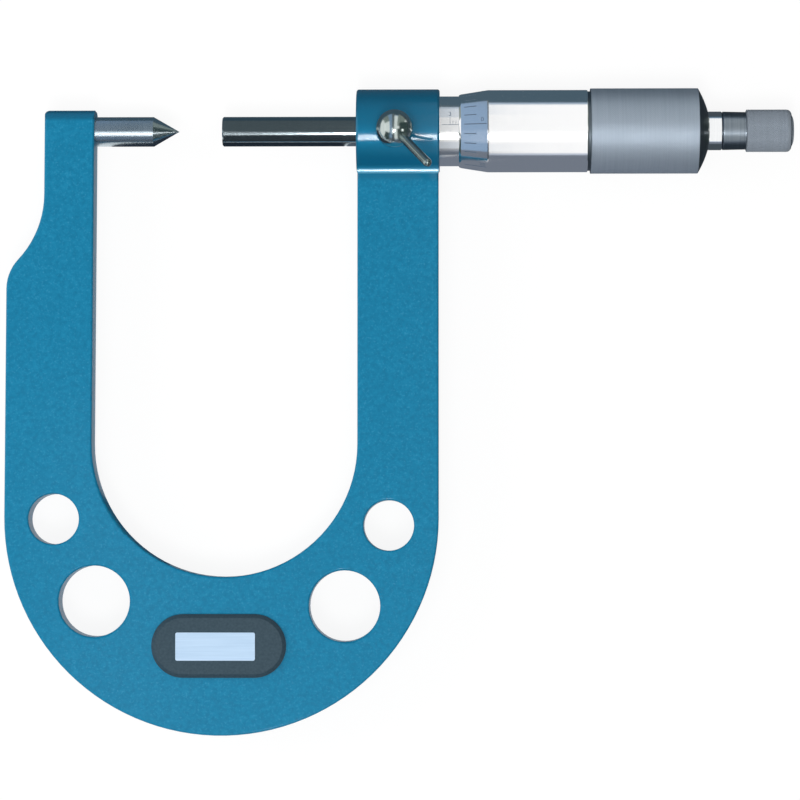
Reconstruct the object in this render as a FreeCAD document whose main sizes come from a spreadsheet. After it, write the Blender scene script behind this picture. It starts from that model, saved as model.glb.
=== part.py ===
import FreeCAD, Part
import math
import os
import re
import Sketcher

# Brake disc micrometer, lying on its back.
# Every length is in millimetres and every angle in degrees.
# The measuring axis runs along X, from the anvil to the ratchet. The throat of the frame
# opens towards +Y, and the front of the frame, with the lock lever, faces +Z.
# In the sizes below, "gauge x" is the distance from the anvil's point along the measuring axis.

SIZES = [
    # The measuring gap and the screw
    ("gap", 9.525, "opening between anvil point and spindle face, as drawn"),
    ("closed_travel", 1.905, "how far the spindle can still close from there"),
    ("open_travel", 23.495, "how far the spindle can still open from there"),
    ("running_gap", 0.06, "radial clearance between pieces that turn or slide in each other"),
    ("seat_gap", 0.01, "radial clearance of pieces pressed or screwed together"),
    ("end_play", 0.1, "axial clearance between pieces that turn face to face"),
    # The frame
    ("throat_depth", 97.7, "measuring axis to the bottom of the throat"),
    ("throat_radius", 29.0, "round bottom of the throat"),
    ("rim_depth", 34.5, "bottom of the throat to the bottom of the frame"),
    ("anvil_arm_width", 18.95, "anvil arm below its S curve"),
    ("frame_thickness", 8.5, "flat faces of the frame, front to back"),
    ("edge_round", 0.5, "rounding along the edges of the flat faces"),
    ("anvil_reach", 18.4, "anvil point to the arm that carries it"),
    ("tip_width", 10.85, "narrow end of the anvil arm"),
    ("tip_top", 4.5, "top of the anvil arm above the measuring axis"),
    ("tip_round", 2.4, "rounding of the anvil arm's top, front and back"),
    ("tip_corner", 1.2, "outer corner of the anvil arm's top"),
    ("sweep_top", 14.1, "measuring axis to where the arm starts to widen"),
    ("sweep_radius", 21.0, "hollow curve where the arm widens"),
    ("shoulder_radius", 9.5, "round shoulder below the hollow curve"),
    ("small_hole", 11.0, "upper lightening holes, diameter"),
    ("large_hole", 15.5, "lower lightening holes, diameter"),
    ("small_hole_wall", 5.3, "metal between the upper holes and the outer edge"),
    ("large_hole_wall", 6.55, "metal between the lower holes and the outer edge"),
    ("small_hole_angle", 1.5, "upper holes below the horizontal"),
    ("large_hole_angle", 34.4, "lower holes below the horizontal"),
    ("casting_tilt", 1.1, "how much lower the right holes lie than the left ones, as an angle"),
    # The hub at the end of the spindle arm
    ("spindle_reach", 29.45, "spindle face to the hub"),
    ("hub_radius", 9.2, "hub barrel"),
    ("hub_length", 18.2, "hub barrel"),
    ("hub_step", 0.25, "how far the hub stands out from each side of its arm"),
    ("hub_edge", 0.5, "rounding at the ends of the hub"),
    ("hub_wall", 4.0, "hub's end wall, which the spindle passes"),
    ("saddle_radius", 2.6, "fillet between the hub and the arm's flat faces"),
    ("saddle_bite", 0.005, "how far that fillet dips into both, so that they meet in clean edges"),
    # Anvil and spindle
    ("anvil_dia", 6.5, "anvil"),
    ("anvil_angle", 60.0, "whole angle of the anvil's point"),
    ("anvil_shank_dia", 4.5, "anvil's shank in the arm"),
    ("anvil_shank", 7.5, "anvil's shank length"),
    ("spindle_dia", 6.5, "measuring spindle"),
    ("spindle_edge", 0.25, "chamfer at the measuring face"),
    ("thread_dia", 7.8, "spindle's thread, outside"),
    ("neck_dia", 6.4, "spindle behind its thread"),
    ("seat_dia", 7.8, "large end of the spindle's cone in the thimble"),
    ("seat_end_dia", 6.8, "small end of that cone"),
    ("seat_length", 6.0, "length of that cone"),
    # Inner sleeve, adjusting nut and graduated sleeve
    ("inner_dia", 12.4, "inner sleeve, outside"),
    ("relief_gap", 0.45, "radial room round the thread inside the inner sleeve"),
    ("run_out", 0.5, "axial room at the ends of the thread's travel"),
    ("nut_thread", 9.0, "length of the inner sleeve's internal thread"),
    ("nut_seat_dia", 10.6, "inner sleeve under the adjusting nut, front"),
    ("nut_taper", 0.4, "how much thinner it is at its end"),
    ("slit_width", 0.6, "slits in the inner sleeve's threaded end"),
    ("slit_count", 3, "slits in the inner sleeve's threaded end"),
    ("nut_dia", 14.2, "adjusting nut, outside"),
    ("nut_length", 4.0, "adjusting nut"),
    ("nut_notch", 1.6, "width of the nut's wrench notches"),
    ("nut_margin", 1.0, "inner sleeve standing out behind the nut"),
    ("sleeve_dia", 15.3, "graduated sleeve, outside"),
    ("sleeve_show", 4.225, "graduated sleeve seen between hub and thimble, as drawn"),
    ("sleeve_cover", 3.4, "graduated sleeve left under the thimble when fully open"),
    # Thimble
    ("lip_dia", 16.1, "thimble's front edge"),
    ("lip_land", 0.4, "straight land at the front edge"),
    ("bevel_length", 6.35, "front edge to the end of the graduated bevel"),
    ("thimble_dia", 18.0, "plain barrel"),
    ("plain_length", 21.9, "plain barrel"),
    ("groove_dia", 17.4, "groove between barrel and grip"),
    ("groove_width", 0.5, "groove between barrel and grip"),
    ("grip_dia", 18.7, "knurled grip, over the knurl"),
    ("grip_length", 23.55, "knurled grip"),
    ("tail_length", 2.2, "rounded rear end of the grip"),
    ("tail_dia", 8.8, "flat at the rear end"),
    ("tail_radius", 22.0, "curve of the rounded rear end"),
    ("tail_wall", 8.0, "solid rear end of the thimble"),
    # Ratchet
    ("stud_dia", 4.0, "ratchet stud's threaded shank"),
    ("stud_shank", 9.5, "length of that shank"),
    ("stud_bore", 10.4, "depth of the spindle's tapped hole, from the thimble's rear face"),
    ("collar_dia", 8.45, "bright collar behind the thimble"),
    ("collar_length", 3.1, "bright collar"),
    ("collar_edge", 0.2, "chamfers of the collar"),
    ("shaft_dia", 3.6, "shaft that the knob turns on"),
    ("key_dia", 2.8, "shaft end that the ratchet wheel sits on"),
    ("key_flat", 0.9, "centre to the flat on that end"),
    ("knob_neck_dia", 8.4, "knob's neck at its front end"),
    ("knob_neck_waist", 8.2, "knob's neck at its rear end"),
    ("knob_neck_length", 5.1, "knob's neck"),
    ("knob_step", 0.25, "chamfer from the neck up to the knurl"),
    ("knob_dia", 9.3, "knob over the knurl"),
    ("knob_length", 15.1, "knob and its neck"),
    ("knob_rim", 1.0, "rounded rear edge of the knob"),
    ("knob_rim_dia", 7.4, "knob's rear opening rim"),
    ("knob_floor", 6.2, "solid front part of the knob, with its bearing"),
    ("knob_bore", 7.1, "hollow of the knob"),
    ("cap_depth", 1.2, "cap's depth in the knob"),
    ("cap_dome", 0.5, "cap's dome outside the knob"),
    ("cap_flat", 4.0, "flat on the cap's dome, diameter"),
    ("spring_room", 2.8, "knob floor to clutch ring"),
    ("spring_wire", 0.45, "ratchet spring's square wire"),
    ("spring_dia", 6.0, "ratchet spring, outside"),
    ("spring_turns", 2.25, "ratchet spring's turns"),
    ("ring_thickness", 1.5, "clutch ring without its teeth"),
    ("ring_dia", 6.8, "clutch ring, outside"),
    ("lug_width", 1.4, "clutch ring's lugs"),
    ("lug_height", 0.35, "clutch ring's lugs"),
    ("tooth_height", 0.5, "crown teeth"),
    ("tooth_inner", 2.4, "inner end of the crown teeth, radius"),
    ("tooth_span", 26.0, "angle that a tooth takes of its pitch"),
    ("tooth_play", 1.0, "angle between two flanks in mesh"),
    ("mesh_gap", 0.05, "axial clearance of the teeth in mesh"),
    ("tooth_count", 12, "crown teeth"),
    ("wheel_dia", 6.6, "ratchet wheel, outside"),
    ("wheel_thickness", 1.3, "ratchet wheel without its teeth"),
    ("washer_dia", 4.8, "wheel washer"),
    ("washer_thickness", 0.25, "wheel washer"),
    ("screw_head_dia", 3.8, "wheel screw's head"),
    ("screw_head", 0.8, "wheel screw's head"),
    ("screw_dia", 1.6, "wheel screw"),
    ("screw_length", 4.0, "wheel screw under its head"),
    ("screw_slot", 0.4, "slot in the wheel screw's head"),
    # Lock
    ("lock_inset", 8.5, "hub's front end to the lock screw"),
    ("lock_drop", 0.75, "lock screw's centre line below the measuring axis"),
    ("ball_dia", 8.3, "lock screw's ball head"),
    ("ball_lift", 3.6, "ball centre above the hub"),
    ("ball_drop", 3.4, "ball centre to the flat under the ball"),
    ("lock_dia", 4.0, "lock screw's thread"),
    ("plug_dia", 3.4, "lock plug"),
    ("plug_gap", 0.13, "lock plug to the spindle when unlocked"),
    ("lock_tip", 6.35, "lock screw's end above the measuring axis"),
    ("lever_dia", 2.0, "lock lever"),
    ("lever_length", 14.3, "ball centre to the centre of the lever's round end"),
    ("lever_seat", 1.0, "how far the lever goes in past the ball's centre"),
    ("lever_rise", 40.0, "lever above the plane of the frame"),
    ("lever_heading", 49.5, "lever clockwise from the direction of the ratchet"),
    # Badge pad and nameplate
    ("badge_drop", 15.0, "bottom of the throat to the badge's centre"),
    ("badge_left", 0.45, "badge's centre left of the frame's round bottom"),
    ("badge_length", 29.3, "badge pad"),
    ("badge_width", 13.8, "badge pad"),
    ("badge_thickness", 1.3, "badge pad, above the frame's face"),
    ("badge_seat", 0.2, "depth of the pad's seat in the frame"),
    ("badge_bevel", 0.8, "bevel round the badge pad"),
    ("peg_dia", 3.0, "pegs on the back of the pad"),
    ("peg_length", 2.8, "pegs on the back of the pad"),
    ("peg_spread", 18.0, "between the two pegs"),
    ("plate_length", 17.3, "nameplate"),
    ("plate_width", 6.1, "nameplate"),
    ("plate_thickness", 0.5, "nameplate"),
    ("plate_recess", 0.3, "depth of its recess in the pad"),
    ("plate_corner", 0.4, "nameplate's corners"),
    ("plate_left", 0.7, "nameplate's centre left of the pad's"),
    ("plate_down", 0.1, "nameplate's centre below the pad's"),
]
NAMES = {alias for alias, value, words in SIZES}

# Places along the measuring axis (gauge x), each worked out from the sizes
HUB_NEAR = "(gap + spindle_reach)"
HUB_FAR = f"({HUB_NEAR} + hub_length)"
ARM_NEAR = f"({HUB_NEAR} + hub_step)"
ARM_FAR = f"({HUB_FAR} - hub_step)"
INNER_FRONT = f"({HUB_NEAR} + hub_wall)"
LIP = f"({HUB_FAR} + sleeve_show)"
SLEEVE_END = f"({LIP} + open_travel + sleeve_cover)"
NUT_FRONT = f"({SLEEVE_END} + end_play)"
INNER_END = f"({NUT_FRONT} + nut_length + nut_margin)"
NUT_THREAD_FRONT = f"({INNER_END} - nut_thread)"
SCREW_FRONT = f"({NUT_THREAD_FRONT} - open_travel - run_out)"
SCREW_END = f"({INNER_END} + closed_travel + run_out)"
GUIDE_END = f"({SCREW_FRONT} - closed_travel - run_out)"
THIMBLE_LENGTH = "(bevel_length + plain_length + groove_width + grip_length + tail_length)"
TAIL = f"({LIP} + {THIMBLE_LENGTH})"
HOLLOW_END = f"({TAIL} - tail_wall)"
SPINDLE_END = f"({HOLLOW_END} + seat_length)"
KNOB_FRONT = f"({TAIL} + collar_length + end_play)"
KNOB_END = f"({KNOB_FRONT} + knob_length)"
RING_FRONT = f"({KNOB_FRONT} + knob_floor + spring_room)"
RING_FACE = f"({RING_FRONT} + ring_thickness)"
WHEEL_FACE = f"({RING_FACE} + tooth_height + mesh_gap)"
WHEEL_BACK = f"({WHEEL_FACE} + wheel_thickness)"
WASHER_BACK = f"({WHEEL_BACK} + washer_thickness)"
LOCK_X = f"({HUB_NEAR} + lock_inset)"
BALL_HEIGHT = "(hub_radius + ball_lift)"

# The frame's outline. The anvil arm's walls are tangent to the throat and lean a little, by the
# angle LEAN. The outer radius touches the spindle arm, the bottom and the anvil arm's outer wall.
THROAT_X = f"({ARM_NEAR} - throat_radius)"
THROAT_Y = "(throat_radius - throat_depth)"
FRAME_DEPTH = "(throat_depth + rim_depth)"
TIP_ACROSS = f"({THROAT_X} + anvil_reach)"
TIP_ABOVE = f"(tip_top - {THROAT_Y})"
TIP_AWAY = f"hypot({TIP_ACROSS}; {TIP_ABOVE})"
LEAN = f"(atan2({TIP_ABOVE}; {TIP_ACROSS}) - acos(throat_radius / {TIP_AWAY}))"
SPINDLE_SIDE = f"({ARM_FAR} - {THROAT_X}) * cos({LEAN})"
BOTTOM_SIDE = f"({FRAME_DEPTH} + {THROAT_Y}) * sin({LEAN})"
ANVIL_SIDE = "(throat_radius + anvil_arm_width)"
WIDTHS = f"({SPINDLE_SIDE} + {BOTTOM_SIDE} + {ANVIL_SIDE})"
OUTER_RADIUS = f"({WIDTHS} / (1 + cos({LEAN}) + sin({LEAN})))"
OUTER_X = f"({ARM_FAR} - {OUTER_RADIUS})"
OUTER_Y = f"({OUTER_RADIUS} - {FRAME_DEPTH})"
SMALL_HOLE_RING = f"({OUTER_RADIUS} - small_hole_wall - small_hole / 2)"
LARGE_HOLE_RING = f"({OUTER_RADIUS} - large_hole_wall - large_hole / 2)"
BADGE_X = f"({OUTER_X} - badge_left)"
BADGE_DEPTH = "(throat_depth + badge_drop)"

# The origin: middle of the whole outline, on the surface that the micrometer lies on
AXIS_HEIGHT = "max(grip_dia / 2; hub_radius)"
MIDDLE_X = f"(({OUTER_X} - {OUTER_RADIUS} + {KNOB_END} + cap_dome) / 2)"
MIDDLE_Y = f"(({AXIS_HEIGHT} - {FRAME_DEPTH}) / 2)"

doc = FreeCAD.newDocument("brake_disc_micrometer")
sheet = doc.addObject("Spreadsheet::Sheet", "dims")


def fill_sheet():
    """One row for each size: what it is, and its value under its alias."""
    for row, (alias, value, words) in enumerate(SIZES, start=1):
        sheet.set(f"A{row}", words)
        sheet.set(f"B{row}", str(value))
        sheet.setAlias(f"B{row}", alias)
    doc.recompute()


def bound(formula):
    """The formula as an expression that reads the sheet."""
    return re.sub(r"[a-z_]+", lambda word: in_sheet(word.group()), formula)


def in_sheet(word):
    """An alias with the sheet's name before it; any other word as it is."""
    return f"dims.{word}" if word in NAMES else word


def number(formula):
    """The formula's value now, for a first drawing that the constraints then hold."""
    return float(sheet.evalExpression(bound(formula)))


def degrees(formula):
    """An angle in degrees as the sheet's functions read it."""
    return f"(({formula}) * 1 deg)"


def new_body(label):
    """An empty body, named as its piece."""
    body = doc.addObject("PartDesign::Body", label)
    body.Label = label
    return body


def origin_of(body, role):
    """One of the body's own origin planes or axes."""
    return next(item for item in body.Origin.OriginFeatures if item.Role == role)


def new_sketch(body, plane, name, lift=None):
    """A sketch on one of the body's origin planes, lifted along the plane's normal."""
    sketch = body.newObject("Sketcher::SketchObject", f"{body.Label}_{name}")
    sketch.AttachmentSupport = (origin_of(body, plane), [""])
    sketch.MapMode = "FlatFace"
    if lift is not None:
        sketch.setExpression("AttachmentOffset.Base.z", bound(lift))
    return sketch


def hold(sketch, kind, *where, size):
    """A dimension in the sketch, bound to its formula."""
    index = sketch.addConstraint(Sketcher.Constraint(kind, *where, number(size)))
    sketch.setExpression(f"Constraints[{index}]", bound(size))


def hold_point(sketch, edge, end, x, y):
    """Holds one end of an edge at a place, both ways from the sketch's origin."""
    for kind, value, axis in (("DistanceX", x, -2), ("DistanceY", y, -1)):
        if value == "0":
            sketch.addConstraint(Sketcher.Constraint("PointOnObject", edge, end, axis))
        else:
            hold(sketch, kind, -1, 1, edge, end, size=value)


def arc_between(start, end, radius, turn):
    """Arc shorter than a half circle from start to end; turn is 1 to the left, -1 to the right."""
    along = end - start
    across = FreeCAD.Vector(-along.y, along.x, 0).normalize()
    half = along.Length / 2
    inward = math.sqrt(max(radius**2 - half**2, 0))
    middle = (start + end) * 0.5 - across * (turn * (radius - inward))
    return Part.Arc(start, middle, end) if turn > 0 else Part.Arc(end, middle, start)


def outline(sketch, stations):
    """A closed line through the stations. A station is (x, y) at the end of a straight edge,
    or (x, y, radius, turn) at the end of an arc that turns left (1) or right (-1)."""
    corners = [FreeCAD.Vector(number(s[0]), number(s[1]), 0) for s in stations]
    edges = []
    for index, station in enumerate(stations):
        start, end = corners[index - 1], corners[index]
        if len(station) == 2:
            edge = sketch.addGeometry(Part.LineSegment(start, end))
            edges.append((edge, 1, 2))
        else:
            arc = arc_between(start, end, number(station[2]), station[3])
            edge = sketch.addGeometry(arc)
            edges.append((edge, 1, 2) if station[3] > 0 else (edge, 2, 1))
    for index, station in enumerate(stations):
        edge, first, last = edges[index]
        before = edges[index - 1]
        sketch.addConstraint(Sketcher.Constraint("Coincident", before[0], before[2], edge, first))
        hold_point(sketch, edge, last, station[0], station[1])
        if len(station) == 4:
            hold(sketch, "Radius", edge, size=station[2])


def circle(sketch, x, y, diameter):
    """A circle held by its centre and its diameter."""
    centre = FreeCAD.Vector(number(x), number(y), 0)
    normal = FreeCAD.Vector(0, 0, 1)
    edge = sketch.addGeometry(Part.Circle(centre, normal, number(diameter) / 2))
    hold_point(sketch, edge, 3, x, y)
    hold(sketch, "Diameter", edge, size=diameter)


def add_feature(body, kind, name, **settings):
    """A feature of the body. The body then has to be larger, or smaller for one that cuts."""
    before = body.Shape.Volume if body.Tip else 0.0
    feature = body.newObject(f"PartDesign::{kind}", f"{body.Label}_{name}")
    for key, value in settings.items():
        setattr(feature, key, value)
    doc.recompute()
    after = body.Shape.Volume
    cuts = kind in ("Pocket", "Groove", "Chamfer", "Fillet")
    if (after >= before) if cuts else (after <= before):
        raise RuntimeError(f"{feature.Label} changed the volume from {before} to {after}")
    return feature


def raise_pad(body, sketch, name, length, **settings):
    """Extrudes the sketch along its plane's normal."""
    pad = add_feature(body, "Pad", name, Profile=sketch, Length=number(length), **settings)
    pad.setExpression("Length", bound(length))
    return pad


def cut_pocket(body, sketch, name, depth, **settings):
    """Cuts the sketch out of the body, down from its plane unless Reversed is set."""
    pocket = add_feature(body, "Pocket", name, Profile=sketch, Length=number(depth), **settings)
    pocket.setExpression("Length", bound(depth))
    return pocket


def turn_up(body, sketch, name, axis="X_Axis"):
    """Adds the sketch turned once round one of the body's origin axes."""
    line = (origin_of(body, axis), [""])
    return add_feature(body, "Revolution", name, Profile=sketch, ReferenceAxis=line, Angle=360)


def turn_out(body, sketch, name, axis="X_Axis"):
    """Cuts the sketch turned once round one of the body's origin axes."""
    line = (origin_of(body, axis), [""])
    return add_feature(body, "Groove", name, Profile=sketch, ReferenceAxis=line, Angle=360)


def repeat_round(body, feature, name, count, axis="X_Axis"):
    """Repeats a feature evenly round an axis."""
    pattern = body.newObject("PartDesign::PolarPattern", f"{body.Label}_{name}")
    pattern.Originals = [feature]
    pattern.Axis = (origin_of(body, axis), [""])
    pattern.Angle = 360
    pattern.Occurrences = round(number(count))
    pattern.setExpression("Occurrences", bound(count))
    body.Tip = pattern
    doc.recompute()
    return pattern


def place(body, x, y="0", z="0"):
    """Puts the body's own origin at gauge x, y across and z above the measuring axis."""
    body.setExpression("Placement.Base.x", bound(f"{x} - {MIDDLE_X}"))
    body.setExpression("Placement.Base.y", bound(f"{y} - {MIDDLE_Y}"))
    body.setExpression("Placement.Base.z", bound(f"{z} + {AXIS_HEIGHT}"))


def turned(label, stations, x):
    """A piece of revolution round the measuring axis, from its half profile."""
    body = new_body(label)
    sketch = new_sketch(body, "XY_Plane", "profile")
    outline(sketch, stations)
    turn_up(body, sketch, "turned")
    place(body, x)
    return body


def frame_outline(sketch):
    """The U of the frame. Its arms run tangent into two arcs that are not concentric, so the
    web is thicker than the arms, and the anvil arm narrows in an S curve towards its tip."""
    inner_x, inner_y = number(THROAT_X), number(THROAT_Y)
    outer_x, outer_y = number(OUTER_X), number(OUTER_Y)
    radius_in, radius_out = number("throat_radius"), number(OUTER_RADIUS)
    arm_near, arm_far = number(ARM_NEAR), number(ARM_FAR)
    top, inner_side = number("tip_top"), -number("anvil_reach")
    lean = math.radians(number(LEAN))
    up = FreeCAD.Vector(math.sin(lean), math.cos(lean), 0)
    right = FreeCAD.Vector(math.cos(lean), -math.sin(lean), 0)
    tip = FreeCAD.Vector(inner_side, top, 0)
    inner_centre = FreeCAD.Vector(inner_x, inner_y, 0)
    outer_centre = FreeCAD.Vector(outer_x, outer_y, 0)
    low_in = inner_centre - right * radius_in
    low_out = outer_centre - right * radius_out
    width = number("tip_width")
    sweep, shoulder = number("sweep_radius"), number("shoulder_radius")
    narrow = tip - right * width
    sweep_start = narrow - up * (top + number("sweep_top"))
    offset = (sweep_start - low_out).dot(right)
    swing = math.acos(max(1 - offset / (sweep + shoulder), 0))
    sweep_centre = sweep_start - right * sweep
    aim = right * math.cos(swing) - up * math.sin(swing)
    sweep_end = sweep_centre + aim * sweep
    shoulder_centre = sweep_centre + aim * (sweep + shoulder)
    shoulder_end = shoulder_centre - right * shoulder
    half_way = right * math.cos(swing / 2) - up * math.sin(swing / 2)
    corner = number("tip_corner")
    corner_centre = narrow + right * corner - up * corner
    corner_low = corner_centre - right * corner
    corner_top = corner_centre + up * corner
    corner_mid = corner_centre + (up - right).normalize() * corner
    down = FreeCAD.Vector(0, -1, 0)
    hub_in, hub_out = FreeCAD.Vector(arm_near, 0, 0), FreeCAD.Vector(arm_far, 0, 0)
    inner_end = FreeCAD.Vector(arm_near, inner_y, 0)
    outer_end = FreeCAD.Vector(arm_far, outer_y, 0)
    (
        inner_wall,
        throat,
        spindle_wall,
        hub_line,
        back_wall,
        bottom,
        outer_wall,
        round_shoulder,
        hollow,
        narrow_wall,
        tip_arc,
        tip_line,
    ) = range(12)
    sketch.addGeometry(
        [
            Part.LineSegment(tip, low_in),
            Part.Arc(low_in, inner_centre + down * radius_in, inner_end),
            Part.LineSegment(inner_end, hub_in),
            Part.LineSegment(hub_in, hub_out),
            Part.LineSegment(hub_out, outer_end),
            Part.Arc(low_out, outer_centre + down * radius_out, outer_end),
            Part.LineSegment(low_out, shoulder_end),
            Part.Arc(sweep_end, shoulder_centre - half_way * shoulder, shoulder_end),
            Part.Arc(sweep_end, sweep_centre + half_way * sweep, sweep_start),
            Part.LineSegment(sweep_start, corner_low),
            Part.Arc(corner_top, corner_mid, corner_low),
            Part.LineSegment(corner_top, tip),
        ],
        False,
    )
    smooth = [
        (inner_wall, 2, throat, 1),
        (throat, 2, spindle_wall, 1),
        (back_wall, 2, bottom, 2),
        (bottom, 1, outer_wall, 1),
        (outer_wall, 2, round_shoulder, 2),
        (round_shoulder, 1, hollow, 1),
        (hollow, 2, narrow_wall, 1),
        (narrow_wall, 2, tip_arc, 2),
        (tip_arc, 1, tip_line, 1),
    ]
    for joint in smooth:
        sketch.addConstraint(Sketcher.Constraint("Tangent", *joint))
    square = [
        (tip_line, 2, inner_wall, 1),
        (spindle_wall, 2, hub_line, 1),
        (hub_line, 2, back_wall, 1),
    ]
    for joint in square:
        sketch.addConstraint(Sketcher.Constraint("Coincident", *joint))
    for wall in (spindle_wall, back_wall):
        sketch.addConstraint(Sketcher.Constraint("Vertical", wall))
    for line in (hub_line, tip_line):
        sketch.addConstraint(Sketcher.Constraint("Horizontal", line))
    for wall in (outer_wall, narrow_wall):
        sketch.addConstraint(Sketcher.Constraint("Parallel", inner_wall, wall))
    sketch.addConstraint(Sketcher.Constraint("PointOnObject", hub_line, 1, -1))
    hold(sketch, "Radius", throat, size="throat_radius")
    hold(sketch, "Radius", bottom, size=OUTER_RADIUS)
    hold(sketch, "Radius", round_shoulder, size="shoulder_radius")
    hold(sketch, "Radius", hollow, size="sweep_radius")
    hold(sketch, "Radius", tip_arc, size="tip_corner")
    hold(sketch, "DistanceX", -1, 1, hub_line, 1, size=ARM_NEAR)
    hold(sketch, "DistanceX", -1, 1, hub_line, 2, size=ARM_FAR)
    hold(sketch, "DistanceY", throat, 3, -1, 1, size="throat_depth - throat_radius")
    hold(sketch, "DistanceY", bottom, 3, -1, 1, size=f"{FRAME_DEPTH} - {OUTER_RADIUS}")
    hold(sketch, "DistanceX", inner_wall, 1, -1, 1, size="anvil_reach")
    hold(sketch, "DistanceY", -1, 1, inner_wall, 1, size="tip_top")
    hold(sketch, "Distance", narrow_wall, 1, inner_wall, size="tip_width")
    hold(sketch, "DistanceY", narrow_wall, 1, -1, 1, size="sweep_top")


def hole_place(ring, angle, side):
    """Centre of a lightening hole on its ring round the centre of the outer radius."""
    tilted = degrees(f"{angle} + {side} * casting_tilt")
    x = f"{OUTER_X} + {side} * {ring} * cos({tilted})"
    y = f"{OUTER_Y} - {ring} * sin({tilted})"
    return x, y


def flat_face_edges(shape, height):
    """Names of the edges that lie in the flat faces."""
    names = []
    for index, edge in enumerate(shape.Edges, start=1):
        box = edge.BoundBox
        if box.ZLength < 1e-6 and abs(abs(box.ZMin) - height) < 1e-6:
            names.append(f"Edge{index}")
    return names


def saddle(body, side, name):
    """Fillet between the hub's barrel and the arm's flat face, in front (1) or at the back (-1)."""
    half = "(frame_thickness / 2 - saddle_bite)"
    barrel = "(hub_radius - saddle_bite)"
    centre_z = f"({half} + saddle_radius)"
    far = f"({barrel} + saddle_radius)"
    centre_y = f"sqrt({far} * {far} - {centre_z} * {centre_z})"
    touch_y = f"-{centre_y} * {barrel} / {far}"
    touch_z = f"{side} * {centre_z} * {barrel} / {far}"
    root = f"{side} * ({half} - saddle_radius)"
    sketch = new_sketch(body, "YZ_Plane", f"{name}_profile", lift=ARM_NEAR)
    outline(
        sketch,
        [
            (f"-{centre_y}", root),
            (touch_y, root),
            (touch_y, touch_z),
            (f"-{centre_y}", f"{side} * {half}", "saddle_radius", -side),
        ],
    )
    raise_pad(body, sketch, name, f"{ARM_FAR} - {ARM_NEAR}")


def tip_rounding(body, side, name):
    """Rounds the top of the anvil arm over to its front (1) or back (-1) face."""
    low = "(tip_top - tip_round)"
    face = f"{side} * frame_thickness / 2"
    inside = f"{side} * (frame_thickness / 2 - tip_round)"
    outside = f"{side} * (frame_thickness / 2 + tip_round)"
    corner = new_sketch(body, "YZ_Plane", f"tip_{name}", lift="-anvil_reach + tip_width")
    outline(
        corner,
        [
            (low, outside),
            ("tip_top + tip_round", outside),
            ("tip_top + tip_round", inside),
            ("tip_top", inside),
            (low, face, "tip_round", side),
        ],
    )
    cut_pocket(body, corner, f"tip_{name}_rounding", "tip_width * 3")


def make_frame():
    """One casting: the U, the hub barrel with its bores, and the holes."""
    body = new_body("frame")
    sketch = new_sketch(body, "XY_Plane", "outline")
    frame_outline(sketch)
    raise_pad(body, sketch, "slab", "frame_thickness", Midplane=True)

    holes = new_sketch(body, "XY_Plane", "hole_places")
    for side in (-1, 1):
        x, y = hole_place(SMALL_HOLE_RING, "small_hole_angle", side)
        circle(holes, x, y, "small_hole")
        x, y = hole_place(LARGE_HOLE_RING, "large_hole_angle", side)
        circle(holes, x, y, "large_hole")
    cut_pocket(body, holes, "lightening_holes", "frame_thickness * 2", Midplane=True)

    edges = flat_face_edges(body.Tip.Shape, number("frame_thickness / 2"))
    rounding = add_feature(
        body, "Fillet", "edges", Base=(body.Tip, edges), Radius=number("edge_round")
    )
    rounding.setExpression("Radius", bound("edge_round"))

    tip_rounding(body, 1, "front")
    tip_rounding(body, -1, "back")

    hub = new_sketch(body, "XY_Plane", "hub_profile")
    rim = "hub_radius - hub_edge"
    outline(
        hub,
        [
            (HUB_NEAR, "0"),
            (HUB_FAR, "0"),
            (HUB_FAR, rim),
            (f"{HUB_FAR} - hub_edge", "hub_radius", "hub_edge", 1),
            (f"{HUB_NEAR} + hub_edge", "hub_radius"),
            (HUB_NEAR, rim, "hub_edge", 1),
        ],
    )
    turn_up(body, hub, "hub")
    saddle(body, 1, "front_saddle")
    saddle(body, -1, "back_saddle")

    bore = new_sketch(body, "XY_Plane", "bore_profile")
    past = f"{HUB_FAR} + hub_step"
    outline(
        bore,
        [
            (f"{HUB_NEAR} - hub_step", "0"),
            (past, "0"),
            (past, "inner_dia / 2 + seat_gap"),
            (INNER_FRONT, "inner_dia / 2 + seat_gap"),
            (INNER_FRONT, "spindle_dia / 2 + running_gap"),
            (f"{HUB_NEAR} - hub_step", "spindle_dia / 2 + running_gap"),
        ],
    )
    turn_out(body, bore, "bore")

    socket = new_sketch(body, "XY_Plane", "anvil_socket_profile")
    bottom = "-anvil_reach - anvil_shank - seat_gap"
    outline(
        socket,
        [
            (bottom, "0"),
            ("-anvil_reach + tip_width / 2", "0"),
            ("-anvil_reach + tip_width / 2", "anvil_shank_dia / 2 + seat_gap"),
            (bottom, "anvil_shank_dia / 2 + seat_gap"),
        ],
    )
    turn_out(body, socket, "anvil_socket")

    lock = new_sketch(body, "XY_Plane", "lock_place")
    circle(lock, LOCK_X, "-lock_drop", "lock_dia + 2 * running_gap")
    cut_pocket(body, lock, "lock_hole", "hub_radius * 2", Reversed=True)

    seat = new_sketch(body, "XY_Plane", "badge_seat", lift="frame_thickness / 2")
    badge_outline(seat, BADGE_X, f"-{BADGE_DEPTH}", "seat_gap")
    cut_pocket(body, seat, "badge_seat_floor", "badge_seat")
    pegs = new_sketch(body, "XY_Plane", "peg_places", lift="frame_thickness / 2 - badge_seat")
    for side in (-1, 1):
        x = f"{BADGE_X} + {side} * peg_spread / 2"
        circle(pegs, x, f"-{BADGE_DEPTH}", "peg_dia + 2 * seat_gap")
    cut_pocket(body, pegs, "peg_holes", "peg_length + seat_gap")
    place(body, "0")


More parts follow.
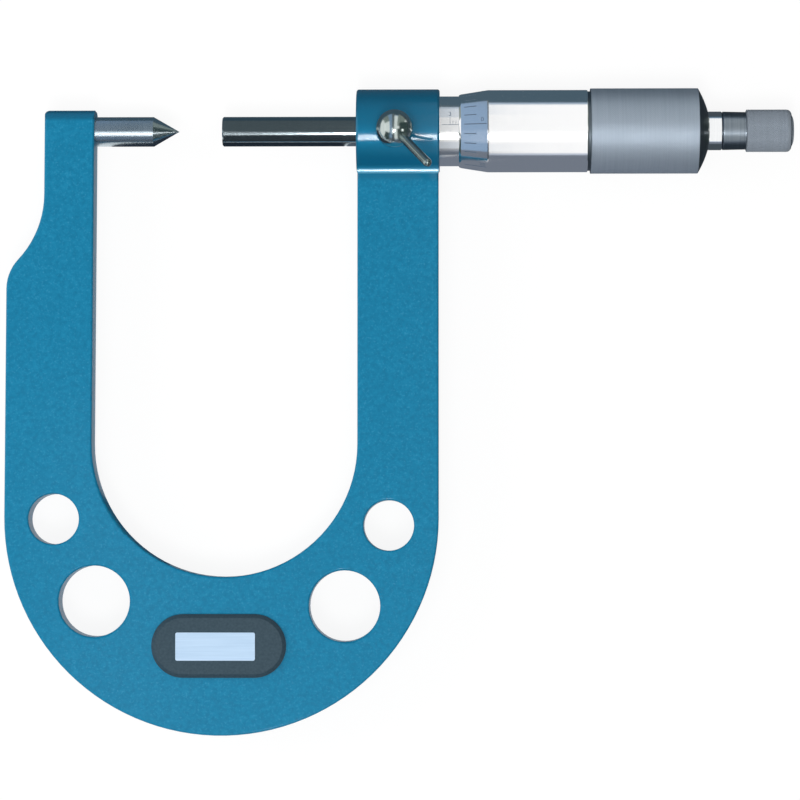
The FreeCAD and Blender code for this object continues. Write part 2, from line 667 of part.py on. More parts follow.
def make_anvil():
    """Hardened pin with a conical point, pressed into the arm by a thinner shank."""
    point = f"anvil_dia / 2 / tan({degrees('anvil_angle / 2')})"
    stations = [
        ("0", "0"),
        (f"-{point}", "anvil_dia / 2"),
        ("-anvil_reach", "anvil_dia / 2"),
        ("-anvil_reach", "anvil_shank_dia / 2"),
        ("-anvil_reach - anvil_shank", "anvil_shank_dia / 2"),
        ("-anvil_reach - anvil_shank", "0"),
    ]
    turned("anvil", stations, "0")


def make_spindle():
    """Plain measuring end, thread, neck and the cone that the thimble sits on."""
    front, end = f"{SCREW_FRONT} - gap", f"{SCREW_END} - gap"
    cone, back = f"{HOLLOW_END} - gap", f"{SPINDLE_END} - gap"
    hole = f"{TAIL} - stud_bore - gap"
    stations = [
        ("0", "0"),
        ("0", "spindle_dia / 2 - spindle_edge"),
        ("spindle_edge", "spindle_dia / 2"),
        (front, "spindle_dia / 2"),
        (front, "thread_dia / 2"),
        (end, "thread_dia / 2"),
        (end, "neck_dia / 2"),
        (f"{cone} - run_out", "neck_dia / 2"),
        (f"{cone} - run_out", "seat_dia / 2"),
        (cone, "seat_dia / 2"),
        (back, "seat_end_dia / 2"),
        (back, "stud_dia / 2 + running_gap"),
        (hole, "stud_dia / 2 + running_gap"),
        (hole, "0"),
    ]
    turned("spindle", stations, "gap")


def make_inner_sleeve():
    """Pressed into the hub. Its front guides the spindle, and its rear is the nut, slit
    lengthwise so that the adjusting nut can close it on the thread."""
    length = f"{INNER_END} - {INNER_FRONT}"
    seat = f"{SLEEVE_END} - {INNER_FRONT}"
    guide = f"{GUIDE_END} - {INNER_FRONT}"
    thread = f"{NUT_THREAD_FRONT} - {INNER_FRONT}"
    stations = [
        ("0", "spindle_dia / 2 + running_gap"),
        (guide, "spindle_dia / 2 + running_gap"),
        (guide, "thread_dia / 2 + relief_gap"),
        (thread, "thread_dia / 2 + relief_gap"),
        (thread, "thread_dia / 2 + running_gap"),
        (length, "thread_dia / 2 + running_gap"),
        (length, "(nut_seat_dia - nut_taper) / 2"),
        (seat, "nut_seat_dia / 2"),
        (seat, "inner_dia / 2"),
        ("0", "inner_dia / 2"),
    ]
    body = turned("inner_sleeve", stations, INNER_FRONT)

    cross = new_sketch(body, "XY_Plane", "plug_place")
    circle(cross, f"{LOCK_X} - {INNER_FRONT}", "-lock_drop", "plug_dia + 2 * running_gap")
    cut_pocket(body, cross, "plug_hole", "inner_dia", Reversed=True)

    slit = new_sketch(body, "XY_Plane", "slit_profile")
    outline(
        slit,
        [
            (thread, "thread_dia / 2 - relief_gap"),
            (f"{length} + run_out", "thread_dia / 2 - relief_gap"),
            (f"{length} + run_out", "inner_dia / 2 + run_out"),
            (thread, "inner_dia / 2 + run_out"),
        ],
    )
    cut = cut_pocket(body, slit, "slit", "slit_width", Midplane=True)
    repeat_round(body, cut, "slits", "slit_count")


def make_adjusting_nut():
    """Round nut with two notches for its wrench, on the sleeve's tapered end."""
    start = f"({NUT_FRONT} - {SLEEVE_END})"
    slope = f"nut_taper / 2 / ({INNER_END} - {SLEEVE_END})"
    near = f"nut_seat_dia / 2 + seat_gap - {slope} * {start}"
    far = f"nut_seat_dia / 2 + seat_gap - {slope} * ({start} + nut_length)"
    stations = [
        ("0", near),
        ("nut_length", far),
        ("nut_length", "nut_dia / 2"),
        ("0", "nut_dia / 2"),
    ]
    body = turned("adjusting_nut", stations, NUT_FRONT)
    notch = new_sketch(body, "XZ_Plane", "notch_profile")
    outline(
        notch,
        [
            ("nut_length / 2", "-nut_notch / 2"),
            ("nut_length + run_out", "-nut_notch / 2"),
            ("nut_length + run_out", "nut_notch / 2"),
            ("nut_length / 2", "nut_notch / 2"),
        ],
    )
    cut_pocket(body, notch, "notches", "nut_dia * 2", Midplane=True)


def make_outer_sleeve():
    """Thin graduated tube, turned on the inner sleeve to set zero."""
    length = f"{SLEEVE_END} - {HUB_FAR}"
    bore = "inner_dia / 2 + seat_gap"
    stations = [
        ("0", bore),
        (length, bore),
        (length, "sleeve_dia / 2"),
        ("0", "sleeve_dia / 2"),
    ]
    turned("outer_sleeve", stations, HUB_FAR)


def make_thimble():
    """Graduated bevel, plain barrel and grip, with a cone inside that seats on the spindle."""
    barrel_end = "(bevel_length + plain_length)"
    grip = f"({barrel_end} + groove_width)"
    tail = f"({grip} + grip_length)"
    hollow = f"({THIMBLE_LENGTH} - tail_wall)"
    cone_end = f"({hollow} + seat_length + running_gap)"
    bore = "sleeve_dia / 2 + running_gap"
    stations = [
        ("0", bore),
        ("0", "lip_dia / 2"),
        ("lip_land", "lip_dia / 2"),
        ("bevel_length", "thimble_dia / 2"),
        (barrel_end, "thimble_dia / 2"),
        (barrel_end, "groove_dia / 2"),
        (grip, "groove_dia / 2"),
        (grip, "grip_dia / 2"),
        (tail, "grip_dia / 2"),
        (THIMBLE_LENGTH, "tail_dia / 2", "tail_radius", -1),
        (THIMBLE_LENGTH, "stud_dia / 2 + relief_gap"),
        (cone_end, "stud_dia / 2 + relief_gap"),
        (cone_end, "seat_end_dia / 2 + running_gap"),
        (hollow, "seat_dia / 2 + running_gap"),
        (hollow, bore),
    ]
    turned("thimble", stations, LIP)


def make_ratchet_stud():
    """Screws into the spindle, clamps the thimble on its cone and carries the ratchet."""
    shaft = f"({WHEEL_FACE} - {TAIL})"
    end = f"({WHEEL_BACK} - {TAIL} - mesh_gap)"
    collar = "collar_length"
    stations = [
        ("-stud_shank", "0"),
        ("-stud_shank", "stud_dia / 2"),
        ("0", "stud_dia / 2"),
        ("0", "collar_dia / 2 - collar_edge"),
        ("collar_edge", "collar_dia / 2"),
        (f"{collar} - collar_edge", "collar_dia / 2"),
        (collar, "collar_dia / 2 - collar_edge"),
        (collar, "shaft_dia / 2"),
        (shaft, "shaft_dia / 2"),
        (shaft, "key_dia / 2"),
        (end, "key_dia / 2"),
        (end, "screw_dia / 2 + seat_gap"),
        (f"{end} - screw_length", "screw_dia / 2 + seat_gap"),
        (f"{end} - screw_length", "0"),
    ]
    body = turned("ratchet_stud", stations, TAIL)
    flat = new_sketch(body, "YZ_Plane", "key_profile", lift=shaft)
    outline(
        flat,
        [
            ("-key_dia", "key_flat"),
            ("key_dia", "key_flat"),
            ("key_dia", "key_dia"),
            ("-key_dia", "key_dia"),
        ],
    )
    cut_pocket(body, flat, "key_flat", "wheel_thickness * 2", Reversed=True)


def make_ratchet_knob():
    """Hollow knob that turns on the stud's shaft, with two grooves for the clutch ring."""
    neck = "knob_neck_length"
    grip = f"({neck} + knob_step)"
    rim = "(knob_length - knob_rim)"
    stations = [
        ("0", "shaft_dia / 2 + running_gap"),
        ("0", "knob_neck_dia / 2"),
        (neck, "knob_neck_waist / 2"),
        (grip, "knob_dia / 2"),
        (rim, "knob_dia / 2"),
        ("knob_length", "knob_rim_dia / 2", "knob_rim", -1),
        ("knob_length", "knob_bore / 2"),
        ("knob_floor", "knob_bore / 2"),
        ("knob_floor", "shaft_dia / 2 + running_gap"),
    ]
    body = turned("ratchet_knob", stations, KNOB_FRONT)
    groove = new_sketch(body, "YZ_Plane", "groove_profile", lift="knob_floor")
    half = "(lug_width / 2 + running_gap)"
    for side in (-1, 1):
        depth = f"{side} * (ring_dia / 2 + lug_height + running_gap)"
        outline(
            groove,
            [
                (f"-{half}", f"{side} * knob_bore / 4"),
                (half, f"{side} * knob_bore / 4"),
                (half, depth),
                (f"-{half}", depth),
            ],
        )
    room = "spring_room + ring_thickness + tooth_height"
    cut_pocket(body, groove, "grooves", room, Reversed=True)


def make_knob_cap():
    """Domed plug pressed into the knob's open end. The dome runs level into its flat."""
    edge = "knob_bore / 2 - seat_gap"
    fall = f"({edge} - cap_flat / 2)"
    dome_radius = f"({fall} * {fall} + cap_dome * cap_dome) / (2 * cap_dome)"
    stations = [
        ("-cap_depth", "0"),
        ("-cap_depth", edge),
        ("0", edge),
        ("cap_dome", "cap_flat / 2", dome_radius, -1),
        ("cap_dome", "0"),
    ]
    turned("knob_cap", stations, KNOB_END)


def crown_teeth(body, way, start, outside):
    """Saw teeth on the face at x = 0: each has one flank along a radius and one ramp. way is the
    side the teeth point to, start the flank's angle, and outside the diameter of the piece."""
    root = f"-{way} * tooth_height"
    tip = f"{way} * tooth_height"
    sketches = []
    for end, radius in (("inner", "tooth_inner"), ("outer", f"{outside} / 2")):
        flank = f"{radius} * tan({degrees(start)})"
        foot = f"{radius} * tan({degrees(f'{start} - {way} * tooth_span')})"
        sketch = new_sketch(body, "XZ_Plane", f"tooth_{end}", lift=f"-{radius}")
        outline(sketch, [(root, flank), (tip, flank), ("0", foot), (root, foot)])
        sketches.append(sketch)
    tooth = add_feature(
        body, "AdditiveLoft", "tooth", Profile=sketches[0], Sections=[sketches[1]], Ruled=True
    )
    repeat_round(body, tooth, "teeth", "tooth_count")
    trim = new_sketch(body, "XY_Plane", "trim_profile")
    edge, past = f"{outside} / 2", f"{way} * tooth_height * 2"
    outline(trim, [(root, edge), (past, edge), (past, outside), (root, outside)])
    turn_out(body, trim, "trim")


def make_clutch_ring():
    """Slides on two lugs in the knob's grooves, so it turns with the knob; its teeth look
    towards the ratchet. Its origin is the middle of its toothed face."""
    stations = [
        ("-ring_thickness", "shaft_dia / 2 + relief_gap"),
        ("0", "shaft_dia / 2 + relief_gap"),
        ("0", "ring_dia / 2"),
        ("-ring_thickness", "ring_dia / 2"),
    ]
    body = turned("clutch_ring", stations, RING_FACE)
    crown_teeth(body, 1, "0.0", "ring_dia")
    lugs = new_sketch(body, "YZ_Plane", "lug_profile", lift="-ring_thickness")
    for side in (-1, 1):
        foot = f"{side} * (ring_dia / 2 - lug_height)"
        end = f"{side} * (ring_dia / 2 + lug_height)"
        outline(
            lugs,
            [
                ("-lug_width / 2", foot),
                ("lug_width / 2", foot),
                ("lug_width / 2", end),
                ("-lug_width / 2", end),
            ],
        )
    raise_pad(body, lugs, "lugs", "ring_thickness")


def make_ratchet_wheel():
    """Fixed on the stud by the flat in its bore; its teeth look towards the clutch ring."""
    stations = [
        ("0", "key_dia / 2 + seat_gap"),
        ("wheel_thickness", "key_dia / 2 + seat_gap"),
        ("wheel_thickness", "wheel_dia / 2"),
        ("0", "wheel_dia / 2"),
    ]
    body = turned("ratchet_wheel", stations, WHEEL_FACE)
    crown_teeth(body, -1, "tooth_play", "wheel_dia")
    flat = new_sketch(body, "YZ_Plane", "key_profile")
    top = "key_dia / 2 + 2 * seat_gap"
    outline(
        flat,
        [
            ("-key_dia / 2", "key_flat + seat_gap"),
            ("key_dia / 2", "key_flat + seat_gap"),
            ("key_dia / 2", top),
            ("-key_dia / 2", top),
        ],
    )
    raise_pad(body, flat, "key_flat", "wheel_thickness")


def make_ratchet_spring():
    """Presses the clutch ring against the ratchet wheel."""
    body = new_body("ratchet_spring")
    sketch = new_sketch(body, "XY_Plane", "wire_section")
    low, top = "spring_dia / 2 - spring_wire", "spring_dia / 2"
    front, back = "seat_gap", "spring_wire + seat_gap"
    outline(sketch, [(front, low), (back, low), (back, top), (front, top)])
    travel = "(spring_room - spring_wire - 2 * seat_gap)"
    coil = add_feature(
        body,
        "AdditiveHelix",
        "coil",
        Profile=sketch,
        ReferenceAxis=(origin_of(body, "X_Axis"), [""]),
        Mode="pitch-height-angle",
        Pitch=number(f"{travel} / spring_turns"),
        Height=number(travel),
    )
    coil.setExpression("Pitch", bound(f"{travel} / spring_turns"))
    coil.setExpression("Height", bound(travel))
    place(body, f"{KNOB_FRONT} + knob_floor")


def make_wheel_fasteners():
    """Washer and slotted screw that hold the ratchet wheel on the stud."""
    stations = [
        ("0", "screw_dia / 2 + running_gap"),
        ("washer_thickness", "screw_dia / 2 + running_gap"),
        ("washer_thickness", "washer_dia / 2"),
        ("0", "washer_dia / 2"),
    ]
    turned("wheel_washer", stations, WHEEL_BACK)
    stations = [
        ("-screw_length", "0"),
        ("-screw_length", "screw_dia / 2"),
        ("0", "screw_dia / 2"),
        ("0", "screw_head_dia / 2"),
        ("screw_head", "screw_head_dia / 2"),
        ("screw_head", "0"),
    ]
    body = turned("wheel_screw", stations, WASHER_BACK)
    slot = new_sketch(body, "XY_Plane", "slot_profile")
    outline(
        slot,
        [
            ("screw_head / 2", "-screw_head_dia"),
            ("screw_head * 2", "-screw_head_dia"),
            ("screw_head * 2", "screw_head_dia"),
            ("screw_head / 2", "screw_head_dia"),
        ],
    )
    cut_pocket(body, slot, "slot", "screw_slot", Midplane=True)


def slanted(along, across):
    """A point in the lever's upright plane: along the lever from the ball's centre, and across."""
    rise = degrees("lever_rise")
    x = f"({along}) * cos({rise}) - ({across}) * sin({rise})"
    z = f"({along}) * sin({rise}) + ({across}) * cos({rise})"
    return x, z


def slanted_axis(sketch):
    """The lever's centre line, as a construction line that a turned feature can use."""
    end_x, end_z = slanted("lever_length", "0")
    start = FreeCAD.Vector(0, 0, 0)
    end = FreeCAD.Vector(number(end_x), number(end_z), 0)
    line = sketch.addGeometry(Part.LineSegment(start, end), True)
    sketch.addConstraint(Sketcher.Constraint("Coincident", line, 1, -1, 1))
    hold_point(sketch, line, 2, end_x, end_z)
    return (sketch, ["Axis0"])


def place_lock(body):
    """Puts a lock piece's origin at the ball's centre, turned to the lever's heading."""
    place(body, LOCK_X, y="-lock_drop", z=BALL_HEIGHT)
    body.Placement.Rotation = FreeCAD.Rotation(FreeCAD.Vector(0, 0, -1), number("lever_heading"))
    body.setExpression("Placement.Rotation.Angle", bound(degrees("lever_heading")))


def make_lock_screw():
    """Threaded shank with a ball head, drilled aslant for the lever."""
    body = new_body("lock_screw")
    sketch = new_sketch(body, "XZ_Plane", "profile")
    low = f"lock_tip - {BALL_HEIGHT}"
    flat = "sqrt(ball_dia * ball_dia / 4 - ball_drop * ball_drop)"
    outline(
        sketch,
        [
            ("0", low),
            ("lock_dia / 2", low),
            ("lock_dia / 2", "-ball_drop"),
            (flat, "-ball_drop"),
            ("0", "ball_dia / 2", "ball_dia / 2", 1),
        ],
    )
    turn_up(body, sketch, "turned", axis="Z_Axis")
    hole = new_sketch(body, "XZ_Plane", "lever_hole_profile")
    axis = slanted_axis(hole)
    wall = "lever_dia / 2 + seat_gap"
    outline(
        hole,
        [
            slanted("-lever_seat - seat_gap", "0"),
            slanted("ball_dia", "0"),
            slanted("ball_dia", wall),
            slanted("-lever_seat - seat_gap", wall),
        ],
    )
    add_feature(body, "Groove", "lever_hole", Profile=hole, ReferenceAxis=axis, Angle=360)
    place_lock(body)


def make_lock_lever():
    """Pin pressed into the ball, with a round end."""
    body = new_body("lock_lever")
    sketch = new_sketch(body, "XZ_Plane", "profile")
    axis = slanted_axis(sketch)
    outline(
        sketch,
        [
            slanted("-lever_seat", "0"),
            slanted("lever_length + lever_dia / 2", "0"),
            (*slanted("lever_length", "lever_dia / 2"), "lever_dia / 2", 1),
            slanted("-lever_seat", "lever_dia / 2"),
        ],
    )
    add_feature(body, "Revolution", "turned", Profile=sketch, ReferenceAxis=axis, Angle=360)
    place_lock(body)


def make_lock_plug():
    """Brass plug that the lock screw presses on the spindle."""
    body = new_body("lock_plug")
    sketch = new_sketch(body, "XY_Plane", "profile")
    circle(sketch, "0", "0", "plug_dia")
    start = "(spindle_dia / 2 + plug_gap)"
    raise_pad(body, sketch, "plug", f"lock_tip - end_play / 4 - {start}")
    place(body, LOCK_X, y="-lock_drop", z=start)


def badge_outline(sketch, x, y, clearance):
    """The badge pad's obround round (x, y), larger all round by the clearance."""
    end = "(badge_length - badge_width) / 2"
    half = f"(badge_width / 2 + {clearance})"
    left, right = f"{x} - {end}", f"{x} + {end}"
    outline(
        sketch,
        [
            (right, f"{y} - {half}"),
            (f"{right} + {half}", y, half, 1),
            (right, f"{y} + {half}", half, 1),
            (left, f"{y} + {half}"),
            (f"{left} - {half}", y, half, 1),
            (left, f"{y} - {half}", half, 1),
        ],
    )


def make_badge_pad():
    """Dark obround plate with a bevelled edge, a recess for the nameplate and two pegs."""
    body = new_body("badge_pad")
    sketch = new_sketch(body, "XY_Plane", "outline")
    badge_outline(sketch, "0", "0", "0")
    height = "(badge_seat + badge_thickness)"
    raise_pad(body, sketch, "plate", height)
    top = number(height)
    edges = [
        f"Edge{index}"
        for index, edge in enumerate(body.Tip.Shape.Edges, start=1)
        if edge.BoundBox.ZLength < 1e-6 and abs(edge.BoundBox.ZMin - top) < 1e-6
    ]
    bevel = add_feature(
        body, "Chamfer", "bevel", Base=(body.Tip, edges), Size=number("badge_bevel")
    )
    bevel.setExpression("Size", bound("badge_bevel"))
    recess = new_sketch(body, "XY_Plane", "recess_outline", lift=height)
    plate_outline(recess, "-plate_left", "-plate_down", "seat_gap")
    cut_pocket(body, recess, "recess", "plate_recess")
    pegs = new_sketch(body, "XY_Plane", "peg_places")
    for side in (-1, 1):
        circle(pegs, f"{side} * peg_spread / 2", "0", "peg_dia")
    raise_pad(body, pegs, "pegs", "peg_length", Reversed=True)
    place(body, BADGE_X, y=f"-{BADGE_DEPTH}", z="frame_thickness / 2 - badge_seat")


def plate_outline(sketch, x, y, clearance):
    """The nameplate's rectangle round (x, y) with round corners, larger all round by the
    clearance."""
    wide = f"(plate_length / 2 + {clearance})"
    high = f"(plate_width / 2 + {clearance})"
    left, right = f"{x} - {wide}", f"{x} + {wide}"
    low, top = f"{y} - {high}", f"{y} + {high}"
    corner = "plate_corner"
    outline(
        sketch,
        [
            (f"{right} - {corner}", low),
            (right, f"{low} + {corner}", corner, 1),
            (right, f"{top} - {corner}"),
            (f"{right} - {corner}", top, corner, 1),
            (f"{left} + {corner}", top),
            (left, f"{top} - {corner}", corner, 1),
            (left, f"{low} + {corner}"),
            (f"{left} + {corner}", low, corner, 1),
        ],
    )


def make_nameplate():
    """Bare metal plate, seated in the pad's recess."""
    body = new_body("nameplate")
    sketch = new_sketch(body, "XY_Plane", "outline")
    plate_outline(sketch, "0", "0", "0")
    raise_pad(body, sketch, "plate", "plate_thickness")
    height = "frame_thickness / 2 + badge_thickness - plate_recess"
    place(body, f"{BADGE_X} - plate_left", y=f"-{BADGE_DEPTH} - plate_down", z=height)


def check_and_write():
    """Every object has to be sound before the first file is written."""
    doc.recompute()
    for item in doc.Objects:
        if "Invalid" in item.State or "Error" in item.State:
            raise RuntimeError(f"{item.Label} failed: {item.State}")
    bodies = [item for item in doc.Objects if item.TypeId == "PartDesign::Body"]
    for body in bodies:
        if body.Shape.isNull() or not body.Shape.isValid():
            raise RuntimeError(f"{body.Label} has no sound shape")
        if len(body.Shape.Solids) != 1:
            raise RuntimeError(f"{body.Label} is {len(body.Shape.Solids)} solids")
    os.makedirs("parts", exist_ok=True)
    for body in bodies:
        body.Shape.exportStep(f"parts/{body.Label}.step")
        box = body.Shape.BoundBox
        print(f"{body.Label}: {body.Shape.Volume:.1f} mm3, x {box.XMin:.2f} to {box.XMax:.2f}")


fill_sheet()
make_frame()
make_anvil()
make_spindle()
make_inner_sleeve()
make_adjusting_nut()
make_outer_sleeve()
make_thimble()
make_ratchet_stud()
make_ratchet_knob()
make_knob_cap()
make_clutch_ring()
make_ratchet_wheel()
make_ratchet_spring()
make_wheel_fasteners()
make_lock_screw()
make_lock_lever()
make_lock_plug()
make_badge_pad()
make_nameplate()
check_and_write()
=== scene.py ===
# %% [markdown]
# # A brake disc micrometer in its studio
# This lesson dresses a measured steel gauge: a deep painted U frame, a pointed anvil, a spindle, and a
# measuring head with a sleeve, a thimble, a sprung ratchet stop and a small lock.
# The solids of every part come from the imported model, in metres, and keep their places.
# What is added here is what a lathe, a knurling wheel, an engraver and a painter would add.

import bpy
import numpy as np
from mathutils import Matrix, Vector


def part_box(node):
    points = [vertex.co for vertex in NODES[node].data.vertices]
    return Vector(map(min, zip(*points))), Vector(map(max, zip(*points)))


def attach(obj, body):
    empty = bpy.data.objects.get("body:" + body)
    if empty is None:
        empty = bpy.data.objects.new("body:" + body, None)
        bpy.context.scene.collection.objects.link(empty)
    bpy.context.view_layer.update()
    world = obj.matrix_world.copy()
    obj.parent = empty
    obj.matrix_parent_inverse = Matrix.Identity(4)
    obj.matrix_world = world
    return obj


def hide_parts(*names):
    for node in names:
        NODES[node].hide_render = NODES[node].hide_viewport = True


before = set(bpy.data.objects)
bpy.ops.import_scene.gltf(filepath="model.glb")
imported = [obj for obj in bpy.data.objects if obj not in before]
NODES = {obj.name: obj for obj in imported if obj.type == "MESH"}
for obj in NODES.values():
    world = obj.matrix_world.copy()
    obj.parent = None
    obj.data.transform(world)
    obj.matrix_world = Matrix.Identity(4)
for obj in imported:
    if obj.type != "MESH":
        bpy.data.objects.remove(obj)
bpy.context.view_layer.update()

MM = 0.001

# %% [markdown]
# ## The axis and the surfaces turned about it
# Nearly everything on the head is turned, so one helper makes most of it. A profile is a list of
# (distance along the axis, radius) pairs. Carried round the axis it gives a grid of points, and the
# grid is joined by faces. Working on whole arrays keeps the formula in sight and is quick.

# %% The turned surface as a grid
SPINDLE_LOW, SPINDLE_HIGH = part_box("spindle")
AXIS_Y = (SPINDLE_LOW.y + SPINDLE_HIGH.y) / 2
AXIS_Z = (SPINDLE_LOW.z + SPINDLE_HIGH.z) / 2


def turned(along, radius, angle):
    """A point at distance x along the axis, radius r and angle a stands at
    (x, axis + r sin a, axis + r cos a)."""
    along, radius, angle = np.broadcast_arrays(along, radius, angle)
    return np.stack([along, AXIS_Y + radius * np.sin(angle), AXIS_Z + radius * np.cos(angle)], axis=-1)


print("axis at y", round(AXIS_Y / MM, 3), "z", round(AXIS_Z / MM, 3), "mm")

# %% [markdown]
# No turned edge is quite sharp, and the little roundness that it has catches the light. So a profile is
# given by its sharp corners and a reach for each, and a short curve takes the place of every corner.

# %% Soft corners of a profile
CURVE_POINTS = 3
GUARD_REACH, GUARD_SHARE = 0.15 * MM, 0.3


def soft_corners(profile, reach):
    """Each inner corner C becomes the curve (1-t)^2 A + 2t(1-t) C + t^2 B, where A and B lie at its reach
    along the two edges that meet there. A guard point stands a little further out on each edge, which
    keeps the shading of a long flat wall from leaning over towards its corner."""
    point = np.asarray(profile, float) * MM
    reach = np.broadcast_to(np.asarray(reach, float) * MM, len(point)).copy()
    reach[[0, -1]] = 0
    edge = np.diff(point, axis=0)
    length = np.linalg.norm(edge, axis=1)
    way = edge / length[:, None]
    guard = np.minimum(GUARD_REACH, GUARD_SHARE * (length - reach[:-1] - reach[1:]))[:, None]
    corner, own_reach = point[1:-1], reach[1:-1, None]
    start, end = corner - way[:-1] * own_reach, corner + way[1:] * own_reach
    t = np.linspace(0, 1, CURVE_POINTS)[None, :, None]
    curve = (1 - t) ** 2 * start[:, None] + 2 * t * (1 - t) * corner[:, None] + t ** 2 * end[:, None]
    before, after = (start - way[:-1] * guard[:-1])[:, None], (end + way[1:] * guard[1:])[:, None]
    rows = np.concatenate([before, curve, after], axis=1).reshape(-1, 2)
    return np.concatenate([point[:1], rows, point[-1:]])


print("a soft corner has", CURVE_POINTS + 2, "points")

# %% [markdown]
# A mesh is a list of points and a list of triangles that name them. The volume that the triangles hold
# tells whether they face outwards, so a shape that was described inside out is turned round here.

# %% From a grid of points to a closed mesh
CREASE = np.radians(30)


def signed_volume(points, faces):
    """The sum over triangles of a . (b x c) / 6, which is positive where the faces point outwards."""
    a, b, c = points[faces[:, 0]], points[faces[:, 1]], points[faces[:, 2]]
    return float(np.einsum("ij,ij->i", a, np.cross(b, c)).sum() / 6)


def make_piece(name, points, triangles, finishes, finish_of_face=None):
    """Puts an array of points and an array of triangles into a mesh object, faces outwards, smooth apart
    from the edges that bend by more than the crease angle."""
    volume = signed_volume(points, triangles)
    if volume < 0:
        triangles = triangles[:, ::-1]
    mesh = bpy.data.meshes.new(name)
    mesh.vertices.add(len(points))
    mesh.vertices.foreach_set("co", np.ascontiguousarray(points, dtype=np.float32).reshape(-1))
    mesh.loops.add(triangles.size)
    mesh.loops.foreach_set("vertex_index", np.ascontiguousarray(triangles, dtype=np.int32).reshape(-1))
    mesh.polygons.add(len(triangles))
    mesh.polygons.foreach_set("loop_start", np.arange(0, triangles.size, 3, dtype=np.int32))
    for finish in finishes:
        mesh.materials.append(finish)
    if finish_of_face is not None:
        mesh.polygons.foreach_set("material_index", finish_of_face.astype(np.int32))
    mesh.polygons.foreach_set("use_smooth", np.ones(len(triangles), bool))
    mesh.update(calc_edges=True)
    mesh.set_sharp_from_angle(angle=CREASE)
    mesh.validate()
    piece = bpy.data.objects.new(name, mesh)
    bpy.context.scene.collection.objects.link(piece)
    print(name, "-", len(triangles), "triangles,", round(abs(volume) / MM ** 3, 2), "mm3")
    return piece


def ring_faces(crest):
    """Joins each point of a closed grid to its neighbours, both ways round. A quad is cut from its first
    corner to its third, or across the other way where the first or third corner is a crest."""
    rows, columns = crest.shape
    index = np.arange(rows * columns).reshape(rows, columns)
    below, right = np.roll(index, -1, axis=0), np.roll(index, -1, axis=1)
    across = np.roll(below, -1, axis=1)
    other = (crest | np.roll(np.roll(crest, -1, axis=0), -1, axis=1))[..., None]
    first = np.where(other, np.stack([index, below, right], -1), np.stack([index, below, across], -1))
    second = np.where(other, np.stack([below, across, right], -1), np.stack([index, across, right], -1))
    return np.stack([first, second], axis=2).reshape(-1, 3)


print("mesh helpers ready")

# %% [markdown]
# ## Finishes
# Each finish is a small node tree on Object coordinates, which are metres here, so a Noise scale of
# 1000 has features about a millimetre wide. Colour, roughness and bump all vary, because a single flat
# colour looks like plastic. Numbers that are the same all over stand on the shader itself.

# %% Helpers that make colours and values
NOISE_LOW, NOISE_HIGH = 0.3, 0.7


def new_finish(name, **sockets):
    """A material with one Principled shader, whose named sockets are set once."""
    finish = bpy.data.materials.new(name)
    finish.use_nodes = True
    shader = finish.node_tree.nodes["Principled BSDF"]
    for socket, value in sockets.items():
        shader.inputs[socket.replace("_", " ")].default_value = value
    return finish, finish.node_tree, shader


def noise(tree, scale, stretch=(1, 1, 1), detail=3.0, roughness=0.5):
    """Noise on the piece's own coordinates, squeezed along each axis by stretch."""
    place = tree.nodes.new("ShaderNodeTexCoord")
    mapping = tree.nodes.new("ShaderNodeMapping")
    mapping.inputs["Scale"].default_value = stretch
    texture = tree.nodes.new("ShaderNodeTexNoise")
    texture.inputs["Scale"].default_value = scale
    texture.inputs["Detail"].default_value = detail
    texture.inputs["Roughness"].default_value = roughness
    tree.links.new(place.outputs["Object"], mapping.inputs["Vector"])
    tree.links.new(mapping.outputs["Vector"], texture.inputs["Vector"])
    return texture.outputs["Fac"]


def ramp(tree, value, stops):
    """Colours at positions from 0 to 1 along a value."""
    node = tree.nodes.new("ShaderNodeValToRGB")
    elements = node.color_ramp.elements
    while len(elements) < len(stops):
        elements.new(0.5)
    for element, (position, colour) in zip(elements, stops):
        element.position = position
        element.color = (*colour, 1)
    tree.links.new(value, node.inputs["Fac"])
    return node.outputs["Color"]


def two_tones(tree, shader, value, dark, pale):
    """Colours the surface from dark to pale over the stretch where noise mostly lies."""
    tones = ramp(tree, value, [(NOISE_LOW, dark), (NOISE_HIGH, pale)])
    tree.links.new(tones, shader.inputs["Base Color"])


print("colour helpers ready")

# %% Helpers that combine them
def span(tree, value, low, high, from_low=NOISE_LOW, from_high=NOISE_HIGH):
    """Maps a value onto the span from low to high."""
    node = tree.nodes.new("ShaderNodeMapRange")
    node.inputs["From Min"].default_value = from_low
    node.inputs["From Max"].default_value = from_high
    node.inputs["To Min"].default_value = low
    node.inputs["To Max"].default_value = high
    tree.links.new(value, node.inputs["Value"])
    return node.outputs["Result"]


def arithmetic(tree, operation, first, second):
    """One arithmetic step on two values or sockets."""
    node = tree.nodes.new("ShaderNodeMath")
    node.operation = operation
    for socket, value in zip(node.inputs, (first, second)):
        if isinstance(value, (int, float)):
            socket.default_value = value
        else:
            tree.links.new(value, socket)
    return node.outputs["Value"]


def mix(tree, share, first, second):
    """Blends two colours by a share from 0 to 1. Each colour is a socket or a plain triple."""
    node = tree.nodes.new("ShaderNodeMix")
    node.data_type = "RGBA"
    sockets = {socket.identifier: socket for socket in (*node.inputs, *node.outputs)}
    tree.links.new(share, sockets["Factor_Float"])
    for name, colour in (("A_Color", first), ("B_Color", second)):
        if isinstance(colour, tuple):
            sockets[name].default_value = (*colour, 1)
        else:
            tree.links.new(colour, sockets[name])
    return sockets["Result_Color"]


def bump(tree, shader, height, distance, strength):
    """Raises the surface by the height times the distance in metres, for light only."""
    node = tree.nodes.new("ShaderNodeBump")
    node.inputs["Distance"].default_value = distance
    node.inputs["Strength"].default_value = strength
    tree.links.new(height, node.inputs["Height"])
    tree.links.new(node.outputs["Normal"], shader.inputs["Normal"])


print("node helpers ready")

